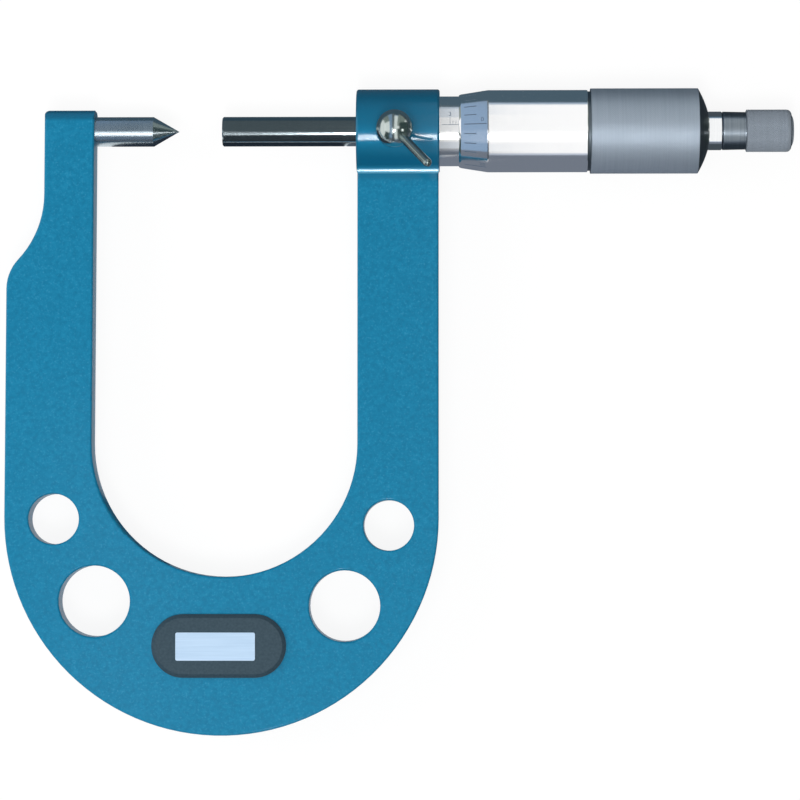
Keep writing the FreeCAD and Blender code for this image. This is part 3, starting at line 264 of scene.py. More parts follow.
# %% [markdown]
# ### Frame enamel
# The frame is a casting under baked blue enamel. On the flat faces the coat keeps a fine pebbled grain
# with paler specks. The hub and the tip of the anvil arm were machined before they were painted, so
# there the same enamel is smooth under a clear coat, and a lamp draws a sharp line along the hub. Round
# the foot of the hub a paler line is painted into the enamel colour: a painted highlight for the light
# that the rounded join catches. The masks for these places rise from 0 to 1 between two places on one
# axis, and two of them multiplied give a corner of the frame.

# %% Places with smooth enamel
def part_of(tree, axis, low, high):
    """Rises from 0 to 1 as the coordinate on the axis goes from low to high, in metres."""
    place = tree.nodes.new("ShaderNodeTexCoord")
    split = tree.nodes.new("ShaderNodeSeparateXYZ")
    tree.links.new(place.outputs["Object"], split.inputs["Vector"])
    return span(tree, split.outputs[axis], 0.0, 1.0, low, high)


def where_both(tree, first, second):
    """The product of two masks, which is 1 only where both are."""
    return arithmetic(tree, "MULTIPLY", part_of(tree, *first), part_of(tree, *second))


HUB_LOW = AXIS_Y - 10.3 * MM
HUB = ("Y", HUB_LOW - 1.2 * MM, HUB_LOW), ("X", -14 * MM, -12 * MM)
ARM_TIP = ("Y", AXIS_Y + 1.9 * MM, AXIS_Y + 2.6 * MM), ("X", -50 * MM, -52 * MM)
# A band just under the hub, where a painted highlight lies along the foot of the hub.
PAINTED_HIGHLIGHT_LINE = ("Y", AXIS_Y - 9.8 * MM, AXIS_Y - 9.2 * MM), ("Y", AXIS_Y - 8.4 * MM, AXIS_Y - 9.0 * MM)
print("enamel is smooth above y", round(HUB_LOW / MM, 1), "mm on the hub")

# %% Frame enamel
GRAIN_BLUES = [(0.3, (0.003, 0.163, 0.30)), (0.5, (0.0045, 0.190, 0.345)), (0.72, (0.009, 0.222, 0.39))]
CLOUD_BLUE, SPECK_BLUE = (0.004, 0.172, 0.315), (0.05, 0.28, 0.46)
# The second colour is the painted highlight at the foot of the hub, a paler blue.
SMOOTH_BLUE, PAINTED_HIGHLIGHT_BLUE = (0.003, 0.185, 0.335), (0.14, 0.43, 0.60)
GRAIN_SCALE, CLOUD_SCALE, SPECK_SCALE = 1150, 160, 2300
CLOUD_SHARE, SPECK_SHARE, SPECK_RANGE = (0, 0.35), (0, 0.3), (0.6, 0.78)
GRAIN_ROUGHNESS, SMOOTH_METALLIC, COAT = (0.42, 0.52), 0.6, (0.15, 1.0)
GRAIN_DEPTH, GRAIN_STRENGTH = 0.05 * MM, 0.5

enamel, tree, shader = new_finish("frame_enamel", Coat_Roughness=0.13, Specular_IOR_Level=0.15)
is_smooth = arithmetic(tree, "MAXIMUM", where_both(tree, *HUB), where_both(tree, *ARM_TIP))
is_grained = arithmetic(tree, "SUBTRACT", 1.0, is_smooth)
grain = noise(tree, GRAIN_SCALE, roughness=0.55)
cloud = noise(tree, CLOUD_SCALE, detail=2)
specks = noise(tree, SPECK_SCALE, detail=1)
clouded = mix(tree, span(tree, cloud, *CLOUD_SHARE), ramp(tree, grain, GRAIN_BLUES), CLOUD_BLUE)
speckled = mix(tree, span(tree, specks, *SPECK_SHARE, *SPECK_RANGE), clouded, SPECK_BLUE)
# The smooth enamel, with the painted highlight mixed into its colour along the foot of the hub.
smooth = mix(tree, where_both(tree, *PAINTED_HIGHLIGHT_LINE), SMOOTH_BLUE, PAINTED_HIGHLIGHT_BLUE)
tree.links.new(mix(tree, is_smooth, speckled, smooth), shader.inputs["Base Color"])
tree.links.new(span(tree, is_smooth, *COAT, 0.0, 1.0), shader.inputs["Coat Weight"])
tree.links.new(arithmetic(tree, "MULTIPLY", is_smooth, SMOOTH_METALLIC), shader.inputs["Metallic"])
tree.links.new(span(tree, grain, *GRAIN_ROUGHNESS), shader.inputs["Roughness"])
bump(tree, shader, arithmetic(tree, "MULTIPLY", grain, is_grained), GRAIN_DEPTH, GRAIN_STRENGTH)
print("enamel made,", len(tree.nodes), "nodes")

# %% [markdown]
# ### Turned, ground and plated steel
# A ground or turned surface carries fine marks that run round the axis. Noise that is drawn out across
# the axis hardly changes but along x, so it lies in bands round the shaft, as the marks of a lathe do.
# Chrome differs from bare steel only in colour and in how smooth it is, so all the metals are rows of
# one table.

# %% Metals
TURNING_STRETCH = (1, 0.02, 0.02)
METAL_CLOUD_SCALE, DULLEST, GLOSSIEST = 220, 1.07, 0.94
METALS = {  # pale colour, dark colour, roughness, noise scale, depth of the marks in metres, metallic
    "ground_steel": ((0.57, 0.65, 0.69), (0.53, 0.61, 0.65), 0.22, 3500, 5e-7, 1.0),
    "spindle_steel": ((0.40, 0.47, 0.50), (0.37, 0.435, 0.465), 0.1, 3500, 2e-7, 1.0),
    "satin_chrome": ((0.99, 0.99, 0.99), (0.965, 0.97, 0.975), 0.12, 5000, 1e-6, 1.0),
    "knurled_chrome": ((0.46, 0.53, 0.61), (0.41, 0.48, 0.56), 0.42, 2600, 4e-6, 0.72),
    "knob_chrome": ((0.32, 0.365, 0.425), (0.28, 0.325, 0.375), 0.48, 2600, 3e-6, 0.3),
    # A darker chrome whose colour is painted shade, put in the thimble's groove, on its tail and on the
    # knob's rim.
    "painted_shade_chrome": ((0.19, 0.225, 0.25), (0.13, 0.155, 0.175), 0.4, 2600, 2e-6, 1.0),
    "neck_chrome": ((0.30, 0.345, 0.39), (0.22, 0.26, 0.30), 0.3, 2600, 2e-6, 1.0),
    "lock_chrome": ((0.60, 0.67, 0.65), (0.53, 0.60, 0.58), 0.17, 2500, 5e-7, 1.0),
    "lever_chrome": ((0.36, 0.43, 0.42), (0.30, 0.37, 0.36), 0.25, 2500, 5e-7, 1.0),
    "bright_chrome": ((0.93, 0.94, 0.945), (0.88, 0.89, 0.90), 0.06, 2500, 5e-7, 1.0),
    "plain_steel": ((0.50, 0.51, 0.53), (0.36, 0.37, 0.39), 0.32, 4000, 4e-6, 1.0),
    "brass": ((0.72, 0.52, 0.22), (0.58, 0.40, 0.15), 0.3, 3000, 4e-6, 1.0),
}


def turned_metal(name, pale, dark, rough, scale, depth, metallic):
    """Steel or chrome with marks that run round the axis: noise drawn out 50 times along y and z."""
    finish, tree, shader = new_finish(name, Metallic=metallic, Roughness=rough)
    bands = noise(tree, scale, TURNING_STRETCH, roughness=0.65)
    cloud = noise(tree, METAL_CLOUD_SCALE, detail=2)
    two_tones(tree, shader, bands, dark, pale)
    tree.links.new(span(tree, cloud, rough * GLOSSIEST, rough * DULLEST), shader.inputs["Roughness"])
    bump(tree, shader, bands, depth, 0.4)
    return finish


metal = {name: turned_metal(name, *look) for name, look in METALS.items()}
print("metals made:", len(metal))

# %% [markdown]
# ### Pad, plate and ink
# The badge pad is a moulded dark plastic with a very fine grain. The bare plate on it is brushed along
# its length, so its noise is drawn out along x. The scales are filled with a dull blue-black paint.

# %% Pad, plate and ink
PAD_TONES = (0.032, 0.058, 0.078), (0.043, 0.074, 0.097)
PLATE_TONES = (0.42, 0.58, 0.76), (0.49, 0.65, 0.83)
INK_TONES = (0.07, 0.115, 0.17), (0.12, 0.17, 0.235)

pad_plastic, tree, shader = new_finish("pad_plastic", Roughness=0.4, Specular_IOR_Level=0.15)
grain = noise(tree, 1800)
two_tones(tree, shader, grain, *PAD_TONES)
bump(tree, shader, grain, 0.02 * MM, 0.4)

plate_metal, tree, shader = new_finish("plate_metal", Metallic=0.12, Roughness=0.36)
brushed = noise(tree, 2500, stretch=(0.03, 1, 1))
two_tones(tree, shader, brushed, *PLATE_TONES)
bump(tree, shader, brushed, 0.003 * MM, 0.5)

ink, tree, shader = new_finish("scale_ink", Roughness=0.55)
two_tones(tree, shader, noise(tree, 3000, detail=2), *INK_TONES)
print("pad, plate and ink made")

# %% [markdown]
# Most parts keep their own solid and only need a finish, which goes into their material slots.
# The works inside the head are all plain steel, apart from the plug of the lock.

# %% Finishes for the parts that keep their own shape
WORKS = ("inner_sleeve", "adjusting_nut", "ratchet_wheel", "wheel_washer", "wheel_screw",
         "ratchet_spring", "clutch_ring")
FINISH_OF = dict.fromkeys(WORKS, metal["plain_steel"])
FINISH_OF.update({
    "frame": enamel, "badge_pad": pad_plastic, "nameplate": plate_metal,
    "anvil": metal["ground_steel"], "spindle": metal["spindle_steel"],
    "outer_sleeve": metal["satin_chrome"], "thimble": metal["satin_chrome"],
    "ratchet_stud": metal["bright_chrome"], "ratchet_knob": metal["knurled_chrome"],
    "knob_cap": metal["knob_chrome"], "lock_plug": metal["brass"],
    "lock_screw": metal["lock_chrome"], "lock_lever": metal["lever_chrome"],
})
for node, finish in FINISH_OF.items():
    for slot in NODES[node].material_slots:
        slot.material = finish
print("finished", len(FINISH_OF), "of", len(NODES))

# %% [markdown]
# ## The thimble
# The thimble is one turned sleeve: a bevelled nose that carries the fine scale, a polished barrel, a
# narrow groove, a knurled grip and a rounded tail. A knurl is a grid of small pyramids. On a grid whose
# lines stand half a pitch apart every second point is a crest, and each square is cut along the line
# that joins its two roots, so four small triangles meet at every crest.

# %% Profile of the thimble in millimetres
THIMBLE_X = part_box("thimble")[0].x
NOSE = [(0, 7.71), (0, 7.86), (0.42, 8.06), (6.35, 9.0), (28.15, 9.0),
        (28.15, 8.7), (28.8, 8.7), (28.8, 9.3)]
NOSE_SOFT = [0, 0.04, 0.1, 0.12, 0.12, 0.06, 0.06, 0]
GRIP_ENDS, GRIP_RADIUS, GRIP_ROUND, GRIP_DEPTH = (28.9, 52.25), 9.35, 118, 0.065
TAIL = {"start": (52.35, 9.3), "end": (54.5, 4.4), "radius": 22.0, "count": 9}
BORE = [(54.5, 2.45), (52.56, 2.45), (52.56, 3.46), (46.5, 3.96), (46.5, 7.71)]
BORE_SOFT = 0.08
# The grip gets the knurled chrome; the groove and the tail get the darker chrome, shade painted into their
# colour.
THIMBLE_ZONES = [(28.78, 52.3, 8.95), (28.12, 28.85, 7.0), (52.3, 54.6, 4.5)]


def grip_rows(ends, radius, crests_round):
    """Rows half a pitch apart, an odd number of them, so that the grip starts and ends alike."""
    start, end = ends
    half_pitch = np.pi * radius / crests_round
    count = int(round((end - start) / half_pitch)) // 2 * 2 + 1
    along = np.linspace(start, end, count)
    return np.stack([along, np.full(count, radius)], axis=1) * MM


def arc(start, end, radius, count):
    """Points at mid + d R sin(w t) + n (R cos(w t) - R cos w), for t from -1 to 1, where d runs along the
    chord, n stands outwards on it and w is half the angle of the arc."""
    start, end = np.array(start, float), np.array(end, float)
    chord = end - start
    length = np.linalg.norm(chord)
    d = chord / length
    n = np.array([-d[1], d[0]])
    w = np.arcsin(length / 2 / radius)
    t = np.linspace(-1, 1, count)[:, None]
    return ((start + end) / 2 + d * radius * np.sin(w * t) + n * radius * (np.cos(w * t) - np.cos(w))) * MM


grip = grip_rows(GRIP_ENDS, GRIP_RADIUS, GRIP_ROUND)
print("grip rows:", len(grip), "half a pitch:", round((grip[1, 0] - grip[0, 0]) / MM, 3), "mm")

# %% Knurled bodies
def knurled_body(name, place_x, front, grip, back, crests_round, depth, finishes, zones):
    """A closed turned surface. On the grip rows, point (i, j) is a crest where i + j is even and a root
    where it is odd; roots stand deeper by the depth. The body has the first finish, and each zone of
    (x from, x to, least radius), in millimetres, has the next one."""
    profile = np.concatenate([front, grip, back])
    rows, columns = len(profile), 2 * crests_round
    row = np.arange(rows)[:, None]
    on_grip = (row >= len(front)) & (row < len(front) + len(grip))
    even = (row - len(front) + np.arange(columns)) % 2 == 0
    radius = profile[:, 1:2] - np.where(on_grip & ~even, depth * MM, 0)
    angle = np.linspace(0, 2 * np.pi, columns, endpoint=False)
    points = turned(place_x + profile[:, 0:1], radius, angle).reshape(-1, 3)
    triangles = ring_faces(on_grip & even)
    middle = points[triangles].mean(axis=1)
    along = middle[:, 0] - place_x
    outwards = np.hypot(middle[:, 1] - AXIS_Y, middle[:, 2] - AXIS_Z)
    zone = np.zeros(len(triangles), int)
    for number, (start, end, least) in enumerate(zones, start=1):
        zone[(along >= start * MM) & (along < end * MM) & (outwards > least * MM)] = number
    return make_piece(name, points, triangles, finishes, zone)


thimble_body = knurled_body(
    "thimble_body", THIMBLE_X, soft_corners(NOSE, NOSE_SOFT), grip,
    np.concatenate([arc(**TAIL), soft_corners(BORE, BORE_SOFT)]), GRIP_ROUND, GRIP_DEPTH,
    [metal["satin_chrome"], metal["knurled_chrome"], metal["painted_shade_chrome"], metal["painted_shade_chrome"]],
    THIMBLE_ZONES)
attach(thimble_body, "thimble")
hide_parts("thimble")

# %% [markdown]
# ## The ratchet knob
# The knob is a smaller turned piece of the same make: a smooth neck, a knurled head and a rounded rim.
# It reuses the body above with its own profile.

# %% Knob body, with its profile in millimetres
KNOB_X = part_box("ratchet_knob")[0].x
NECK = [(0, 1.86), (0, 4.2), (5.1, 4.1), (5.3, 4.6)]
NECK_SOFT = [0, 0.15, 0.06, 0]
KNOB_ENDS, KNOB_RADIUS, KNOB_ROUND, KNOB_DEPTH = (5.4, 14.05), 4.65, 60, 0.08
RIM = {"start": (14.1, 4.62), "end": (15.1, 3.7), "radius": 1.0, "count": 7}
KNOB_BORE = [(15.1, 3.55), (6.2, 3.55), (6.2, 1.86)]
KNOB_BORE_SOFT = 0.05
# The head gets the knob chrome; the rim gets the darker chrome, shade painted into its colour.
KNOB_ZONES = [(5.15, 14.85, 3.9), (14.85, 15.2, 3.3)]

knob_body = knurled_body(
    "knob_body", KNOB_X, soft_corners(NECK, NECK_SOFT), grip_rows(KNOB_ENDS, KNOB_RADIUS, KNOB_ROUND),
    np.concatenate([arc(**RIM), soft_corners(KNOB_BORE, KNOB_BORE_SOFT)]), KNOB_ROUND, KNOB_DEPTH,
    [metal["neck_chrome"], metal["knob_chrome"], metal["painted_shade_chrome"]], KNOB_ZONES)
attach(knob_body, "knob")
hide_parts("ratchet_knob")

# %% [markdown]
# ## The scales
# Both scales are cut into the metal and filled with dark paint. Seen from outside, a filled line is a
# thin dark patch in the surface, so each line here is a very flat closed box laid round the cone or the
# cylinder, its foot just under the metal. All the lines of a scale are one array and one mesh.

# %% Lines laid round a turned surface
DATUM = np.radians(4.6)
INK_ABOVE, INK_BELOW = 0.012 * MM, 0.05 * MM


def scale_lines(name, x_low, x_high, turn_low, turn_high, radius_at, steps):
    """Line k is the box x_low[k]..x_high[k] by turn_low[k]..turn_high[k] by two heights. Its points are
    (x, a, h) with a in equal steps, and each stands at radius r(x) + h."""
    x = np.stack(np.broadcast_arrays(x_low, x_high), axis=-1)
    t = np.linspace(0, 1, steps + 1)
    turn = turn_low[:, None] * (1 - t) + turn_high[:, None] * t
    height = np.array([-INK_BELOW, INK_ABOVE])
    along = x[:, None, :, None]
    points = turned(along, radius_at(along) + height, turn[:, :, None, None])
    corner = np.arange((steps + 1) * 4).reshape(steps + 1, 4)[:, [0, 1, 3, 2]]
    ahead = np.roll(corner, -1, axis=1)
    lower = np.stack([corner[:-1], ahead[:-1], ahead[1:]], -1).reshape(-1, 3)
    upper = np.stack([corner[:-1], ahead[1:], corner[1:]], -1).reshape(-1, 3)
    first, last = corner[0], corner[-1]
    caps = np.array([first[[0, 2, 1]], first[[0, 3, 2]], last[[0, 1, 2]], last[[0, 2, 3]]])
    one_line = np.concatenate([lower, upper, caps])
    triangles = (np.arange(len(points))[:, None, None] * corner.size + one_line).reshape(-1, 3)
    return make_piece(name, points.reshape(-1, 3), triangles, [ink])


print("datum", round(float(np.degrees(DATUM)), 1), "degrees from the top")

# %% [markdown]
# A number is set in Blender's own font as a text curve, made into a mesh, and then rolled onto the metal
# by the same formula as everything that is turned.

# %% Numbers laid round a turned surface
CAPITAL_SHARE = 0.7
INK_MIDDLE, INK_HALF = (INK_ABOVE - INK_BELOW) / 2, (INK_ABOVE + INK_BELOW) / 2


def flat_number(label, height):
    """The points and triangles of one number, lying flat and centred at the origin."""
    curve = bpy.data.curves.new("number", "FONT")
    curve.body = label
    curve.size = height / CAPITAL_SHARE
    curve.extrude = INK_HALF
    curve.align_x = "CENTER"
    curve.align_y = "CENTER"
    curve.resolution_u = 3
    text = bpy.data.objects.new("number", curve)
    bpy.context.scene.collection.objects.link(text)
    bpy.context.view_layer.update()
    flat = bpy.data.meshes.new_from_object(text.evaluated_get(bpy.context.evaluated_depsgraph_get()))
    bpy.data.objects.remove(text)
    points = np.empty(len(flat.vertices) * 3)
    flat.vertices.foreach_get("co", points)
    flat.calc_loop_triangles()
    triangles = np.empty(len(flat.loop_triangles) * 3, np.int32)
    flat.loop_triangles.foreach_get("vertices", triangles)
    return points.reshape(-1, 3), triangles.reshape(-1, 3)


def scale_numbers(name, labels, x, turn, height, radius_at):
    """Each number's width runs along x and its height round the axis, so a point (u, v, w) goes to
    (x + u, turn + v / r, r + w)."""
    points, triangles, count = [], [], 0
    for label, place, angle in zip(labels, x, turn):
        flat, faces = flat_number(label, height)
        along = place + flat[:, 0]
        radius = radius_at(along)
        points.append(turned(along, radius + (flat[:, 2] + INK_MIDDLE), angle + flat[:, 1] / radius))
        triangles.append(faces + count)
        count += len(flat)
    return make_piece(name, np.concatenate(points), np.concatenate(triangles), [ink])


print("numbers stand", round(INK_ABOVE / MM, 3), "mm proud")

# %% [markdown]
# The screw moves the thimble 0.635 mm a turn, a fortieth of an inch, so the nose has 25 lines of a
# thousandth each, and the sleeve has a line for every turn. The gauge spans 0.3 to 1.3 inch, and at rest
# it reads 0.375: fifteen turns, so a zero of the nose stands exactly at the datum. The cone and the
# lines on it are given in millimetres from the lip of the thimble.

# %% Scale of the thimble
LINES_ROUND, NUMBER_EVERY = 25, 5
CONE_START, CONE_LENGTH, CONE_RADIUS, BARREL_RADIUS = 0.4, 5.95, 8.05, 9.0
LINE_START, LINE_END, LONG_LINE_END, LINE_HALF_WIDTH = 1.2, 3.8, 6.0, 0.11
NUMBER_X, NUMBER_HEIGHT = THIMBLE_X + 5.1 * MM, 0.95 * MM


def nose_radius(x):
    """The cone of the nose: the radius grows evenly from its lip to the barrel."""
    share = ((x - THIMBLE_X) / MM - CONE_START) / CONE_LENGTH
    return (CONE_RADIUS + (BARREL_RADIUS - CONE_RADIUS) * share) * MM


step = np.arange(LINES_ROUND)
turn = DATUM + step * 2 * np.pi / LINES_ROUND
line_end = np.where(step % NUMBER_EVERY == 0, LONG_LINE_END, LINE_END) * MM
half_width = LINE_HALF_WIDTH * MM / nose_radius(THIMBLE_X + (LINE_START + LINE_END) / 2 * MM)
thimble_lines = scale_lines(
    "thimble_scale", np.full(LINES_ROUND, THIMBLE_X + LINE_START * MM), THIMBLE_X + line_end,
    turn - half_width, turn + half_width, nose_radius, 2)
numbered = step[::NUMBER_EVERY]
thimble_numbers = scale_numbers(
    "thimble_numbers", [str(n) for n in numbered], np.full(len(numbered), NUMBER_X),
    turn[numbered] + NUMBER_HEIGHT / nose_radius(NUMBER_X), NUMBER_HEIGHT, nose_radius)
for piece in (thimble_lines, thimble_numbers):
    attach(piece, "thimble")

# %% [markdown]
# The sleeve's lines are longer at every fourth turn, a tenth of an inch, where a number stands. The
# first line is where the lip of the thimble would stand at a gap of 0.3 inch.

# %% Scale of the sleeve
SLEEVE_LOW, SLEEVE_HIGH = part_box("outer_sleeve")
SLEEVE_RADIUS = SLEEVE_HIGH.z - AXIS_Z
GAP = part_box("spindle")[0].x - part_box("anvil")[1].x
TURN = 0.635 * MM
FIRST_TURN, LAST_TURN, TURNS_A_TENTH = 12, 52, 4
MARK_LENGTH, TENTH_LENGTH, MARK_HALF_WIDTH = 0.9 * MM, 1.7 * MM, 0.04 * MM
DATUM_START, DATUM_END = SLEEVE_LOW.x + 0.6 * MM, SLEEVE_HIGH.x - 1.2 * MM
DATUM_HALF_TURN = 0.05 * MM / SLEEVE_RADIUS
NUMBER_TURN = 2.45 * MM / SLEEVE_RADIUS


def sleeve_radius(x):
    """The sleeve is a plain cylinder."""
    return SLEEVE_RADIUS + 0 * x


marks = np.arange(FIRST_TURN, LAST_TURN + 1)
mark_x = THIMBLE_X - GAP + marks * TURN
tenth = marks % TURNS_A_TENTH == 0
mark_turn = np.where(tenth, TENTH_LENGTH, MARK_LENGTH) / SLEEVE_RADIUS
sleeve_marks = scale_lines(
    "sleeve_scale", mark_x - MARK_HALF_WIDTH, mark_x + MARK_HALF_WIDTH,
    np.full(len(marks), DATUM), DATUM + mark_turn, sleeve_radius, 6)
datum_line = scale_lines(
    "datum_line", np.array([DATUM_START]), np.array([DATUM_END]),
    np.array([DATUM - DATUM_HALF_TURN]), np.array([DATUM + DATUM_HALF_TURN]), sleeve_radius, 2)
sleeve_numbers = scale_numbers(
    "sleeve_numbers", [str(n) for n in marks[tenth] // TURNS_A_TENTH], mark_x[tenth],
    np.full(tenth.sum(), DATUM + NUMBER_TURN), NUMBER_HEIGHT, sleeve_radius)
for piece in (sleeve_marks, datum_line, sleeve_numbers):
    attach(piece, "frame")
print("gap", round(GAP / MM, 3), "mm, first mark at", round(mark_x[0] / MM, 2), "mm")

# %% [markdown]
# ## The studio
# The gauge lies on a pale table under a soft light. The camera sees table and room as white. Polished
# metal shows only what it reflects, so its dark edges need something dark to reflect. Grey mats on the
# table and grey arches overhead, which only reflections can see, draw the bands along every cylinder.
# A point of a cylinder that leans by an angle mirrors the room at twice that angle, which is how each
# card got its place.

# %% Helpers for cards that glow
def glow(name, colour, strength=1.0):
    """A finish that glows evenly in one colour."""
    finish = bpy.data.materials.new(name)
    finish.use_nodes = True
    tree = finish.node_tree
    tree.nodes.remove(tree.nodes["Principled BSDF"])
    light = tree.nodes.new("ShaderNodeEmission")
    light.inputs["Color"].default_value = (*colour, 1)
    light.inputs["Strength"].default_value = strength
    tree.links.new(light.outputs[0], tree.nodes["Material Output"].inputs["Surface"])
    return finish


def card(name, points, finish, only_reflections=True):
    """A flat or curved card from a grid of points."""
    rows, columns = points.shape[:2]
    index = np.arange(rows * columns).reshape(rows, columns)
    faces = np.stack([index[:-1, :-1], index[1:, :-1], index[1:, 1:], index[:-1, 1:]], -1).reshape(-1, 4)
    mesh = bpy.data.meshes.new(name)
    mesh.from_pydata(points.reshape(-1, 3).tolist(), [], faces.tolist())
    mesh.materials.append(finish)
    piece = bpy.data.objects.new(name, mesh)
    bpy.context.scene.collection.objects.link(piece)
    if only_reflections:
        piece.visible_camera = piece.visible_diffuse = piece.visible_shadow = False
        piece.visible_transmission = piece.visible_volume_scatter = False
    return piece


def level(x_low, x_high, y_low, y_high, z):
    """The four corners of a level rectangle, facing up."""
    x, y = np.meshgrid([x_low, x_high], [y_low, y_high], indexing="ij")
    return np.stack([x, y, np.full_like(x, z)], axis=-1)


print("card helpers ready")

# %% [markdown]
# The table answers two kinds of ray. The camera and every polished part see a sheet that glows almost
# white, with a little matt white added that takes the gauge's soft shadow. All other light meets a plain
# pale sheet and bounces up under the gauge. A camera below the table looks through it.

# %% The table
TABLE_REACH, TABLE_Z, MATS_Z = 1.5, -0.3 * MM, -0.1 * MM
TABLE_GLOW, TABLE_STRENGTH = (0.95, 0.95, 0.95), 0.945
TABLE_MATT, TABLE_PLAIN = (0.11, 0.11, 0.11, 1), (0.8, 0.8, 0.8, 1)


def seen_rays(tree):
    """1 for rays from the camera and for those that metal or glass sends on, else 0."""
    path = tree.nodes.new("ShaderNodeLightPath")
    pair = arithmetic(tree, "MAXIMUM", path.outputs["Is Camera Ray"], path.outputs["Is Glossy Ray"])
    return arithmetic(tree, "MAXIMUM", pair, path.outputs["Is Transmission Ray"])


def choose(tree, share, first, second):
    """Mixes two shaders."""
    node = tree.nodes.new("ShaderNodeMixShader")
    tree.links.new(share, node.inputs["Fac"])
    tree.links.new(first, node.inputs[1])
    tree.links.new(second, node.inputs[2])
    return node.outputs[0]


white = glow("table_white", TABLE_GLOW, TABLE_STRENGTH)
tree = white.node_tree
matt = tree.nodes.new("ShaderNodeBsdfDiffuse")
plain = tree.nodes.new("ShaderNodeBsdfDiffuse")
matt.inputs["Color"].default_value = TABLE_MATT
plain.inputs["Color"].default_value = TABLE_PLAIN
both = tree.nodes.new("ShaderNodeAddShader")
clear = tree.nodes.new("ShaderNodeBsdfTransparent")
tree.links.new(matt.outputs[0], both.inputs[0])
tree.links.new(tree.nodes["Emission"].outputs[0], both.inputs[1])
shown = choose(tree, seen_rays(tree), plain.outputs[0], both.outputs[0])
under = tree.nodes.new("ShaderNodeNewGeometry").outputs["Backfacing"]
seen = tree.nodes.new("ShaderNodeLightPath").outputs["Is Camera Ray"]
from_below = arithmetic(tree, "MULTIPLY", under, seen)
surface = choose(tree, from_below, shown, clear.outputs[0])
tree.links.new(surface, tree.nodes["Material Output"].inputs["Surface"])
card("table", level(-TABLE_REACH, TABLE_REACH, -TABLE_REACH, TABLE_REACH, TABLE_Z), white, False)
print("table set", TABLE_Z / MM, "mm under the gauge")

# %% [markdown]
# Close to both its edges, a cylinder that is seen from above mirrors the table. Grey mats lie there, split
# along the measuring axis, so that the far edge and the near edge of the head get different greys. The
# throat has a dark mat of its own, which the spindle and the anvil mirror.

# %% Mats under the head
SLATE, ASH, SOOT = (0.065, 0.107, 0.141), (0.165, 0.19, 0.235), (0.03, 0.04, 0.055)
TAIL_GREY = (0.06, 0.075, 0.09)
FAR = 1.2
HUB_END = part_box("frame")[1].x
GRIP_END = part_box("thimble")[1].x
MATS = {  # x from, x to, y from, y to in metres, and the colour
    "mat_far": ((HUB_END, GRIP_END, AXIS_Y, FAR), SLATE),
    "mat_near": ((HUB_END, GRIP_END, -FAR, AXIS_Y), ASH),
    "mat_under_hub": ((-0.012, HUB_END, -0.015, AXIS_Y), ASH),
    "mat_tail": ((GRIP_END, FAR, -FAR, FAR), TAIL_GREY),
    "mat_spindle_far": ((-0.5, HUB_END, AXIS_Y, FAR), SLATE),
    "mat_throat": ((-0.0643, -0.0125, -0.033, AXIS_Y), SOOT),
}
for name, (place, colour) in MATS.items():
    card(name, level(*place, MATS_Z), glow(name, colour))
print("mats:", len(MATS))

# %% [markdown]
# The arches are parts of one tunnel over the measuring axis. A tunnel's wall at a bow angle is mirrored
# where a cylinder leans half as much, so each strip of wall is one band on the metal. Along the axis, a
# strip is mirrored where the line from the camera by way of the metal meets it. Two brighter strips hang
# just inside the tunnel and give the spindle and the anvil their pale lines.

# %% Arches overhead
ARCH_RADIUS, INNER_RADIUS = 0.66, 0.655
STEEL, SHADE, DIM, SKY = (0.17, 0.19, 0.20), (0.125, 0.15, 0.16), (0.05, 0.06, 0.068), (0.25, 0.365, 0.53)
PALE, BRIGHT = (0.66, 0.75, 0.86), (1.15, 1.15, 1.15)
PALE_FAR, PALE_NEAR = (0.32, 0.41, 0.52), (0.52, 0.58, 0.68)
MOSS, FERN = (0.05, 0.075, 0.075), (0.26, 0.30, 0.28)
EDGE, MIDDLE = HUB_END - 4.2 * MM, -0.095
BORDER_TOP, BORDER_LEAN, BORDER_BOW = -0.148, 0.035, np.radians(85)


def arch(name, x_low, x_high, bow_low, bow_high, colour, count, radius):
    """A strip of tunnel: at bow angle b the wall stands at (x, axis + R sin b, R cos b). Either end may
    be a number or a function of the bow in radians."""
    bow = np.radians(np.linspace(bow_low, bow_high, count))[:, None]
    ends = [end(bow) if callable(end) else end + 0 * bow for end in (x_low, x_high)]
    x = np.concatenate(ends, axis=1)
    points = np.stack(np.broadcast_arrays(x, AXIS_Y + radius * np.sin(bow), radius * np.cos(bow)), axis=-1)
    return card(name, points, glow(name, colour))


def border(bow):
    """The line between the blue and the grey strip, which comes nearer to the hub as the square of the
    bow angle."""
    return BORDER_TOP + BORDER_LEAN * (bow / BORDER_BOW) ** 2


ARCHES = {  # x from, x to in metres, bow from, bow to in degrees, colour, number of points round
    "arch_steel": (border, MIDDLE, -15, 90, STEEL, 24),
    "arch_shade": (MIDDLE, EDGE, -15, 90, SHADE, 24),
    "arch_dim": (border, EDGE, -90, -31, DIM, 12),
    "arch_blue": (-0.33, border, -66, 90, SKY, 24),
    "arch_ash": (-0.33, border, -90, -66, ASH, 6),
    "arch_sleeve": (EDGE, 0.020, -90, -64, ASH, 6),
    "arch_pale_near": (EDGE, 0.018, -64, -40, PALE, 8),
    "arch_bright": (EDGE, 0.018, -40, 40, BRIGHT, 24),
    "arch_pale_far": (EDGE, 0.018, 40, 80, PALE, 12),
    "skirt_far": (EDGE, 0.20, 80, 90, SLATE, 4),
    "skirt_pale_far": (0.018, 0.20, 73, 80, PALE_FAR, 4),
    "skirt_near": (0.020, 0.20, -90, -76, ASH, 4),
    "skirt_pale_near": (0.020, 0.20, -76, -70, PALE_NEAR, 4),
    "wing_near": (-0.9, -0.33, -90, -32, MOSS, 12),
    "wing_far": (-0.9, -0.33, 40, 90, FERN, 12),
    "wing_right_near": (0.20, 0.9, -90, -8, MOSS, 12),
    "wing_right_far": (0.20, 0.9, 8, 90, FERN, 12),
}
